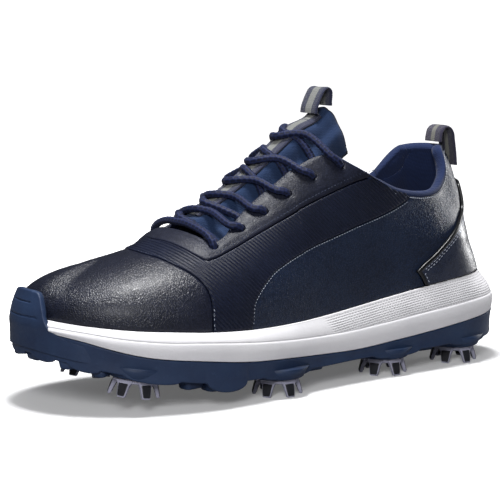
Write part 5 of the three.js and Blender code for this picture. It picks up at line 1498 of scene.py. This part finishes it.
def build_tongue_webbing():
    R, C = n_(160), n_(26)
    P, Nn, X, Y = over_instep(-46.5, 31.0, lambda x: 7.2 + 0 * x, R, C)
    d = grid_edge_distance(P, "lr")
    e = 1 - np.sqrt(np.maximum(1 - (1 - np.clip(d / 0.6, 0, 1)) ** 2, 0))
    top = P + Nn * (crown(X, Y) - 1.45 - 0.45 * e + 0.05 * np.cos(X * 2 * np.pi / 1.1))[..., None]
    bot = P + Nn * (crown(X, Y) - 2.75)[..., None]
    al = np.concatenate([np.zeros((1, C)), np.cumsum(np.linalg.norm(np.diff(P, axis=0), axis=-1), 0)])
    ob = closed_shell("tongue_strap", top, bot, MAT["web"])
    attr(ob, "along", np.concatenate([al.ravel()] * 2))
    attr(ob, "across", np.concatenate([Y.ravel()] * 2))
    return tidy(ob, 1e-6)


def strip(name, line, width, thick, mat, y0=0.0, flare=None):
    """Folded tape: a smooth line in X, Z swept along Y, edges rounded, faintly bowed across."""
    line = np.asarray(line, float)
    Lc = np.concatenate([[0], np.cumsum(np.linalg.norm(np.diff(line, axis=0), axis=1))])
    q = np.linspace(0, Lc[-1], n_(110))
    x, z = hs((Lc, line[:, 0]), q), hs((Lc, line[:, 1]), q)
    tg = np.stack([np.gradient(x), np.gradient(z)], 1)
    tg /= np.linalg.norm(tg, axis=1, keepdims=True)
    nx, nz = -tg[:, 1], tg[:, 0]
    k = 11
    yy = np.linspace(-1, 1, k)
    pro = [(y, 1.0 - 0.55 * max(0, (abs(y) - 0.86) / 0.14) ** 2) for y in yy] + [(y, -1.0 + 0.55 * max(0, (abs(y) - 0.86) / 0.14) ** 2) for y in yy[::-1]]
    pro = np.array(pro)
    w = width / 2 * (1 + (0 if flare is None else flare) * np.sin(np.pi * q / q[-1]))
    off = pro[:, 1][None, :] * thick / 2 + (0.35 * (pro[:, 0] ** 2))[None, :] * np.sin(np.pi * q / q[-1])[:, None] + 0.06 * np.sin(q[:, None] * 2 * np.pi / 1.15 + pro[:, 0][None, :] * 3)
    P = np.stack([x[:, None] + nx[:, None] * off, y0 + w[:, None] * pro[:, 0][None, :], z[:, None] + nz[:, None] * off], -1)
    R, C = P.shape[:2]
    cap = ring_cap(np.arange(C))
    ob = make(name, P.reshape(-1, 3), [grid_faces(R, C, 0, close_c=True), cap, cap[:, ::-1] + (R - 1) * C], mat)
    attr(ob, "along", np.repeat(q, C))
    attr(ob, "across", np.broadcast_to(pro[:, 0] * width / 2, (R, C)))
    return tidy(ob, 1e-6)


TLOOP = [(28.4, 147.6), (28.9, 150.6), (30.6, 154.6), (32.6, 158.2), (34.6, 160.8), (36.6, 161.5), (38.2, 160.2), (38.6, 157.4), (38.4, 154.4), (38.6, 151.8)]
HLOOP = [(131.2, 113.2), (130.6, 121), (129.6, 128), (128.6, 133), (126, 136), (123, 136.4), (120.6, 134.6), (119.4, 131), (119.0, 127.4)]


# lace -------------------------------------------------------------------------------
THROAT = ([-57.2, -56.4, -54.6, -51.5, -46, -38, -27, -10, 10, 25, 44], [10, 17, 23.5, 27.0, 27.0, 24.0, 20.0, 18.4, 18.9, 22, 26])
LACE_R = 2.15
CROSS_OVER, CROSS_UNDER = [8.5, 3.0, -1.5, -3.0, -3.0], [0.5, -3.0, 8.0, 5.0, 1.0]      # where the strands pass over the ridge, mm behind the lower eyelet


def throat_w(side, x):
    w = float(hs(THROAT, x))
    return w * (float(hs(([-57, -45, -27, -10], [0.8, 0.82, 0.93, 1]), x)) if side > 0 else 1.0)


def on(x, y):
    return instep(float(x), float(y) - float(hs(YR, x)))


def rise(o, d):
    return o[0] + o[1] * d


def lace_points():
    yr = lambda x: float(hs(YR, x))

    def eye(side, i):
        return eye_point(side, i)

    def toward(side, i, k):
        """A point k mm from the eyelet, the way its strand comes: forwards and in, or straight in for the front bar."""
        e = eye(side, i)[0]
        return on(e[0], e[1] - side * k) if i == 0 else on(e[0] - 0.85 * k, e[1] - side * k * 0.5)

    def hole(side, i, down):
        pts = [rise(toward(side, i, 6.0), 3.0), rise(toward(side, i, 2.0), 2.4), rise(eye(side, i), 0.4), rise(eye(side, i), -2.6)]
        return pts if down else pts[::-1]

    def under(side, i):
        x = EYE_X[i] + 4.5
        return rise(on(x, yr(x) + side * (throat_w(side, x) + 0.5)), -1.5 - LACE_R - 0.45)
    halves = []
    for start in (-1, 1):
        pts, side = [], start
        for i in range(6):
            pts += hole(side, i, True)
            if i == 5:
                pts.append(rise(eye(side, i), -6.5))
                break
            u = under(side, i)
            a = rise(eye(side, i), -1.5 - LACE_R - 0.6)
            pts += [a + (u - a) * 0.45, u]
            far_first = side > 0
            xc = EYE_X[i] + (CROSS_OVER[i] if far_first else CROSS_UNDER[i])
            xa, xb = (EYE_X[i] + 4.5) * 0.45 + xc * 0.55, xc + 0.42 * (EYE_X[i + 1] - xc)
            A, M, B = on(xa, yr(xa) + side * 11), on(xc, yr(xc)), on(xb, yr(xb) - side * 11)
            top = 4.7 if EYE_X[i] > -40 else 4.0
            pts += [rise(A, 2.2 if far_first else -0.4), rise(M, top + (0.7 if far_first else 0.0)), rise(B, 2.6 if far_first else 1.2)]
            side = -side
        halves.append(pts)
    bar = [rise(on(EYE_X[0] + dx, yr(-54) + y), 2.7) for dx, y in ((-1.2, 12), (-2, 0), (-1.2, -12))]
    return np.array(halves[1][::-1] + bar + halves[0])


def catmull(pts, step):
    """Centripetal curve through the points at an even step."""
    p = np.concatenate([[2 * pts[0] - pts[1]], pts, [2 * pts[-1] - pts[-2]]])
    k = np.concatenate([[0], np.cumsum(np.linalg.norm(np.diff(p, axis=0), axis=1) ** 0.5)])
    out = []
    for i in range(1, len(p) - 2):
        t = np.linspace(k[i], k[i + 1], 60, endpoint=False)[:, None]
        A1 = (k[i] - t) / (k[i] - k[i - 1]) * p[i - 1] + (t - k[i - 1]) / (k[i] - k[i - 1]) * p[i]
        A2 = (k[i + 1] - t) / (k[i + 1] - k[i]) * p[i] + (t - k[i]) / (k[i + 1] - k[i]) * p[i + 1]
        A3 = (k[i + 2] - t) / (k[i + 2] - k[i + 1]) * p[i + 1] + (t - k[i + 1]) / (k[i + 2] - k[i + 1]) * p[i + 2]
        B1 = (k[i + 1] - t) / (k[i + 1] - k[i - 1]) * A1 + (t - k[i - 1]) / (k[i + 1] - k[i - 1]) * A2
        B2 = (k[i + 2] - t) / (k[i + 2] - k[i]) * A2 + (t - k[i]) / (k[i + 2] - k[i]) * A3
        out.append((k[i + 1] - t) / (k[i + 1] - k[i]) * B1 + (t - k[i]) / (k[i + 1] - k[i]) * B2)
    out = np.concatenate(out + [p[-2][None]])
    a = np.concatenate([[0], np.cumsum(np.linalg.norm(np.diff(out, axis=0), axis=1))])
    q = np.linspace(0, a[-1], int(a[-1] / step))
    return np.stack([np.interp(q, a, out[:, j]) for j in range(3)], 1), q


def build_lace():
    P, q = catmull(lace_points(), 0.3)
    tg = np.gradient(P, axis=0)
    tg /= np.linalg.norm(tg, axis=1, keepdims=True)
    u = np.cross(tg[0], [0, 0, 1.0])
    u /= np.linalg.norm(u)
    U = [u]
    for i in range(1, len(P)):
        u = U[-1] - tg[i] * (U[-1] @ tg[i])
        U.append(u / np.linalg.norm(u))
    U = np.array(U)
    W = np.cross(tg, U)
    k = 28
    th = 2 * np.pi * np.arange(k) / k
    pitch = 2 * np.pi / 6.4
    p1 = 3 * th[None, :] + 2 * pitch * q[:, None]
    p2 = 3 * th[None, :] - 2 * pitch * q[:, None]
    h = 0.5 + 0.5 * np.sin(p1) * np.sin(p2)
    h2 = np.maximum(np.abs(np.sin(p1 / 2)) ** 1.5, np.abs(np.sin(p2 / 2)) ** 1.5)
    r = LACE_R * (0.84 + 0.20 * h * h2)
    squash = 1.0
    V = P[:, None] + (r * np.cos(th))[..., None] * U[:, None] + (r * np.sin(th))[..., None] * W[:, None]
    R = len(P)
    cap = ring_cap(np.arange(k))
    ob = make("lace_braided", V.reshape(-1, 3), [grid_faces(R, k, 0, close_c=True), cap[:, ::-1], cap + (R - 1) * k], MAT["lace"])
    attr(ob, "braid", (h * h2).ravel())
    return tidy(ob, 1e-7)


# ------------------------------------------------------------------ building and hanging the pieces
def put(ob, body, slot_, *nodes):
    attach(ob, body)
    if nodes:
        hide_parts(*nodes)
    return ob


def put_blend(ob, slot_, *nodes):
    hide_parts(*nodes)
    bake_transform(ob)
    return ob


put(build_toe_cap(), "shoe", "upper_leather", "toe_cap")
put(build_saddle(), "shoe", "upper_leather", "ribbed_saddle")
put(build_eyestay(), "shoe", "upper_leather", "eyestay")
put(build_quarter("quarter_leather_lateral", False), "shoe", "upper_leather", "quarter_lateral")
put(build_quarter("quarter_leather_medial", True), "shoe", "upper_leather", "quarter_medial")
cover, (cs, ct, cP, cN, cd, ch) = build_heel_cover()
put(cover, "shoe", "heel_gloss", "heel_cover")
collar, (rP, rN, rU, rs, rss) = build_collar()
put(collar, "shoe", "lining_textile", "collar_lining")
put(build_vamp_lining(), "shoe", "lining_textile", "vamp_lining")
put(build_sockliner(), "shoe", "lining_textile", "sockliner")
put(build_midsole(), "shoe", "midsole_foam", "midsole")
put(build_outsole_wall(), "shoe", "outsole_rubber", "outsole")
put(build_bumper(), "shoe", "outsole_rubber", "outsole")
put(build_lugs(), "shoe", "outsole_rubber", "outsole")
put(build_bosses(), "shoe", "outsole_rubber", "outsole")
for i in range(8):
    put(build_cleat(i), "cleat_body_%d" % (i + 1), "cleat_plastic", "cleat_%d" % (i + 1))
put_blend(build_tongue(), "tongue_textile", "tongue", "tongue_flap")
put_blend(build_tongue_webbing(), "webbing", "tongue_webbing")
put(strip("tongue_loop_tape", TLOOP, 16, 1.4, MAT["web"]), "tongue_loop", "webbing", "tongue_pull_loop")
put(strip("heel_loop_tape", HLOOP, 15, 1.4, MAT["web_heel"]), "heel_loop", "webbing", "heel_pull_loop")
put(build_lace(), "shoe", "lace_cord", "lace")


def over(s, t, h):
    """Points h mm above the upper's surface along (s, t), with the normals there."""
    n = S_normal(s, t)
    return S(s, t) + n * np.asarray(h, float)[..., None], n


def row_of(name, s, t, h, slot_, **kw):
    for side, q in (("lateral", s), ("medial", mate(s))):
        pts, nn = over(q, t, np.full(len(s), h))
        put(stitches(name + "_" + side, pts, nn, **kw), "shoe", slot_)


# across the heel cover, inside its binding: two rows along the top edge, one up each front edge
_R, _C = cd.shape
for k_, off_ in enumerate((3.1, 4.6)):
    pts, nn = [], []
    along = np.concatenate([[0], np.cumsum(np.linalg.norm(np.diff(cP[-1], axis=0), axis=1))])
    for j in range(_C):
        if along[j] < off_ + 0.6 or along[-1] - along[j] < off_ + 0.6:
            continue
        dcol = np.concatenate([[0], np.cumsum(np.linalg.norm(np.diff(cP[::-1, j], axis=0), axis=1))])
        a_ = np.interp(off_, dcol, np.arange(_R))
        pts.append([np.interp(a_, np.arange(_R), (cP[::-1, j] + cN[::-1, j] * ch[::-1, j, None])[:, m_]) for m_ in range(3)])
        nn.append([np.interp(a_, np.arange(_R), cN[::-1, j, m_]) for m_ in range(3)])
    put(stitches("heel_cover_stitches_%d" % (k_ + 1), np.array(pts), np.array(nn), 2.5, 1.7, 0.27, MAT["thread_pale_and_glint"], 0.02), "shoe", "heel_gloss")
for k_, rev in (("lateral", False), ("medial", True)):
    gP, gN, gh = (cP[:, ::-1], cN[:, ::-1], ch[:, ::-1]) if rev else (cP, cN, ch)
    pts, nn = [], []
    for r_ in range(2, _R):
        drow = np.concatenate([[0], np.cumsum(np.linalg.norm(np.diff(gP[r_], axis=0), axis=1))])
        up_ = np.sum(np.linalg.norm(np.diff(gP[r_:, 0], axis=0), axis=1))
        if up_ < 3.4:
            break
        a_ = np.interp(3.1, drow, np.arange(_C))
        pts.append([np.interp(a_, np.arange(_C), (gP[r_] + gN[r_] * gh[r_, :, None])[:, m_]) for m_ in range(3)])
        nn.append([np.interp(a_, np.arange(_C), gN[r_, :, m_]) for m_ in range(3)])
    put(stitches("heel_cover_front_stitches_" + k_, np.array(pts), np.array(nn), 2.5, 1.7, 0.27, MAT["thread_pale_and_glint"], 0.02), "shoe", "heel_gloss")

q_ = np.linspace(0.02, 0.985, 300)
rear = np.stack([np.interp(q_ * (len(REAR) - 1), np.arange(len(REAR)), REAR[:, m_]) for m_ in range(2)], 1)
# pale dots along the rear seam at the rib pitch: painted highlights of the rib ends catching the light
row_of("rear_seam_stitches", rear[:, 0], rear[:, 1] - 0.006, 0.12, "upper_leather", pitch=1.9, length=0.9, radius=0.2, mat=MAT["thread_pale_and_glint"], sink=0.0)
toe = TOE_SEAM[(TOE_SEAM[:, 1] > 0.02) & (TOE_SEAM[:, 1] < 0.93)]
row_of("toe_seam_stitches", toe[:, 0] - 0.03, toe[:, 1], 0.3, "upper_leather", pitch=2.0, length=1.2, radius=0.2, mat=MAT["thread_dark"], sink=0.0)
low = TOE_SEAM[(TOE_SEAM[:, 1] > 0.01) & (TOE_SEAM[:, 1] < 0.17)]
row_of("toe_seam_tack", low[:, 0] - 0.012, low[:, 1], 0.32, "upper_leather", pitch=1.6, length=1.2, radius=0.22, mat=MAT["thread_pale_and_glint"], sink=0.0)
sI = STAY_IN[(STAY_IN[:, 0] < 9.0) & (STAY_IN[:, 0] > 6.6)]
row_of("throat_edge_stitches", sI[:, 0], sI[:, 1] - 0.02, 1.0, "upper_leather", pitch=2.3, length=1.6, radius=0.24, mat=MAT["thread_dark"], sink=0.0)
sO = STAY_OUT[(STAY_OUT[:, 0] < 9.3) & (STAY_OUT[:, 0] > 5.5)]
row_of("eyestay_edge_stitches", sO[:, 0], sO[:, 1] + 0.022, 1.0, "upper_leather", pitch=2.3, length=1.6, radius=0.24, mat=MAT["thread_dark"], sink=0.0)
sC = np.linspace(0.45, 5.2, 400)
pts, nn = over(sC, leather_top(sC) - 0.012, np.full(400, 0.05))
put(stitches("collar_edge_stitches_lateral", pts, nn, 1.7, 1.2, 0.24, MAT["thread_pale_and_glint"], 0.0), "shoe", "upper_leather")
pts, nn = over(mate(sC), leather_top_m(sC) - 0.012, np.full(400, 0.05))
put(stitches("collar_edge_stitches_medial", pts, nn, 1.7, 1.2, 0.24, MAT["thread_pale_and_glint"], 0.0), "shoe", "upper_leather")
yS = np.linspace(-6.6, 6.6, 40)
Ps, Ns = instep(np.full(40, 25.6), yS)
put(stitches("strap_bar_stitches", Ps + Ns * (crown(25.6, yS) - 1.3)[:, None], Ns, 1.5, 1.1, 0.24, MAT["thread_dark"], 0.0), "shoe", "webbing")

for name_, key_ in [("shank", "shank"), ("insole_board", "board"), ("toe_puff", "stiff"), ("heel_stiffener", "stiff")] + [("receptacle_%d" % (k + 1), "socket") for k in range(8)]:
    o_ = frame["nodes"][name_]
    for sl_ in o_.material_slots:
        sl_.material = MAT[key_]

# ------------------------------------------------------------------ floor, light, camera
def floor_material():
    m, nt, b = new_mat("floor_paper")
    v = coords(nt)
    s = noise(nt, v, 6, 3)
    seen = N(nt, "ShaderNodeLightPath").outputs["Is Camera Ray"]
    L(nt, mix_col(nt, seen, (0.2, 0.2, 0.21), mix_col(nt, s, (0.84, 0.84, 0.85), (0.87, 0.87, 0.88))), b.inputs["Base Color"])
    b.inputs["Roughness"].default_value = 0.75
    # the paper runs out to white away from the shoe
    far = N(nt, "ShaderNodeVectorMath", operation="LENGTH")
    mp = N(nt, "ShaderNodeMapping")
    tc = N(nt, "ShaderNodeTexCoord")
    mp.inputs["Scale"].default_value = (4.2, 6.2, 1)
    L(nt, tc.outputs["Object"], mp.inputs["Vector"])
    L(nt, mp.outputs["Vector"], far.inputs[0])
    fade = ramp(nt, math_n(nt, "MULTIPLY", far.outputs["Value"], 0.5), [(0.30, (0, 0, 0)), (0.62, (1, 1, 1))])
    cam_ray = N(nt, "ShaderNodeLightPath").outputs["Is Camera Ray"]
    b.inputs["Emission Color"].default_value = (1, 1, 1, 1)
    L(nt, math_n(nt, "MULTIPLY", cam_ray, math_n(nt, "ADD", math_n(nt, "MULTIPLY", fade, 0.9), 0.12)), b.inputs["Emission Strength"])
    # clear when looked at from underneath
    out = [q for q in nt.nodes if q.type == "OUTPUT_MATERIAL"][0]
    mixs, clear = N(nt, "ShaderNodeMixShader"), N(nt, "ShaderNodeBsdfTransparent")
    L(nt, N(nt, "ShaderNodeNewGeometry").outputs["Backfacing"], mixs.inputs[0])
    L(nt, b.outputs[0], mixs.inputs[1])
    L(nt, clear.outputs[0], mixs.inputs[2])
    L(nt, mixs.outputs[0], out.inputs["Surface"])
    return m


me = bpy.data.meshes.new("floor")
me.from_pydata([(-4, -4, 0), (4, -4, 0), (4, 4, 0), (-4, 4, 0)], [], [(0, 1, 2, 3)])
me.materials.append(floor_material())
floor = bpy.data.objects.new("floor", me)
bpy.context.scene.collection.objects.link(floor)

w = bpy.data.worlds.new("studio")
w.use_nodes = True
wn = w.node_tree
bg = wn.nodes["Background"]
bg.inputs[0].default_value = (0.93, 0.95, 1.0, 1)
lp = wn.nodes.new("ShaderNodeLightPath")
mx = wn.nodes.new("ShaderNodeMix")
mx.data_type = "FLOAT"
mx.inputs[2].default_value, mx.inputs[3].default_value = 0.08, 1.6
wn.links.new(lp.outputs["Is Camera Ray"], mx.inputs[0])
wn.links.new(mx.outputs[0], bg.inputs[1])
bpy.context.scene.world = w


def area(name, loc, target, size, power, colour=(1, 1, 1), size_y=None):
    l = bpy.data.lights.new(name, "AREA")
    l.shape = "RECTANGLE"
    l.size, l.size_y = size, size_y or size
    l.energy, l.color = power, colour
    o = bpy.data.objects.new(name, l)
    o.location = loc
    o.rotation_euler = (Vector(target) - Vector(loc)).to_track_quat("-Z", "Y").to_euler()
    bpy.context.scene.collection.objects.link(o)
    return o


area("top", (-0.06, 0.0, 1.1), (0, 0, 0.07), 0.30, 17, size_y=0.24)
area("front", (-0.85, -1.05, 0.8), (0, 0, 0.06), 0.5, 13)
area("heel", (1.15, 0.1, 0.2), (0.12, -0.03, 0.09), 0.25, 3.4, size_y=0.3)

bpy.context.scene.view_settings.view_transform = "Standard"
a, e = math.radians(-34), math.radians(9)
back = Vector((math.sin(a) * math.cos(e), -math.cos(a) * math.cos(e), math.sin(e)))
right = Vector((math.cos(a), math.sin(a), 0))
up = back.cross(right)
cam = bpy.data.cameras.new("camera")
cam.sensor_width, cam.lens = 36, 128.0
cam.shift_x, cam.shift_y = -0.034, 0.042
cam.clip_start, cam.clip_end = 0.05, 50
co = bpy.data.objects.new("camera", cam)
pos = Vector((SHIFT[0] * MM, SHIFT[1] * MM, 0.06)) + back * 1.0
m4 = Matrix((right, up, back)).transposed().to_4x4()
m4.translation = pos
co.matrix_world = m4
bpy.context.scene.collection.objects.link(co)
bpy.context.scene.camera = co
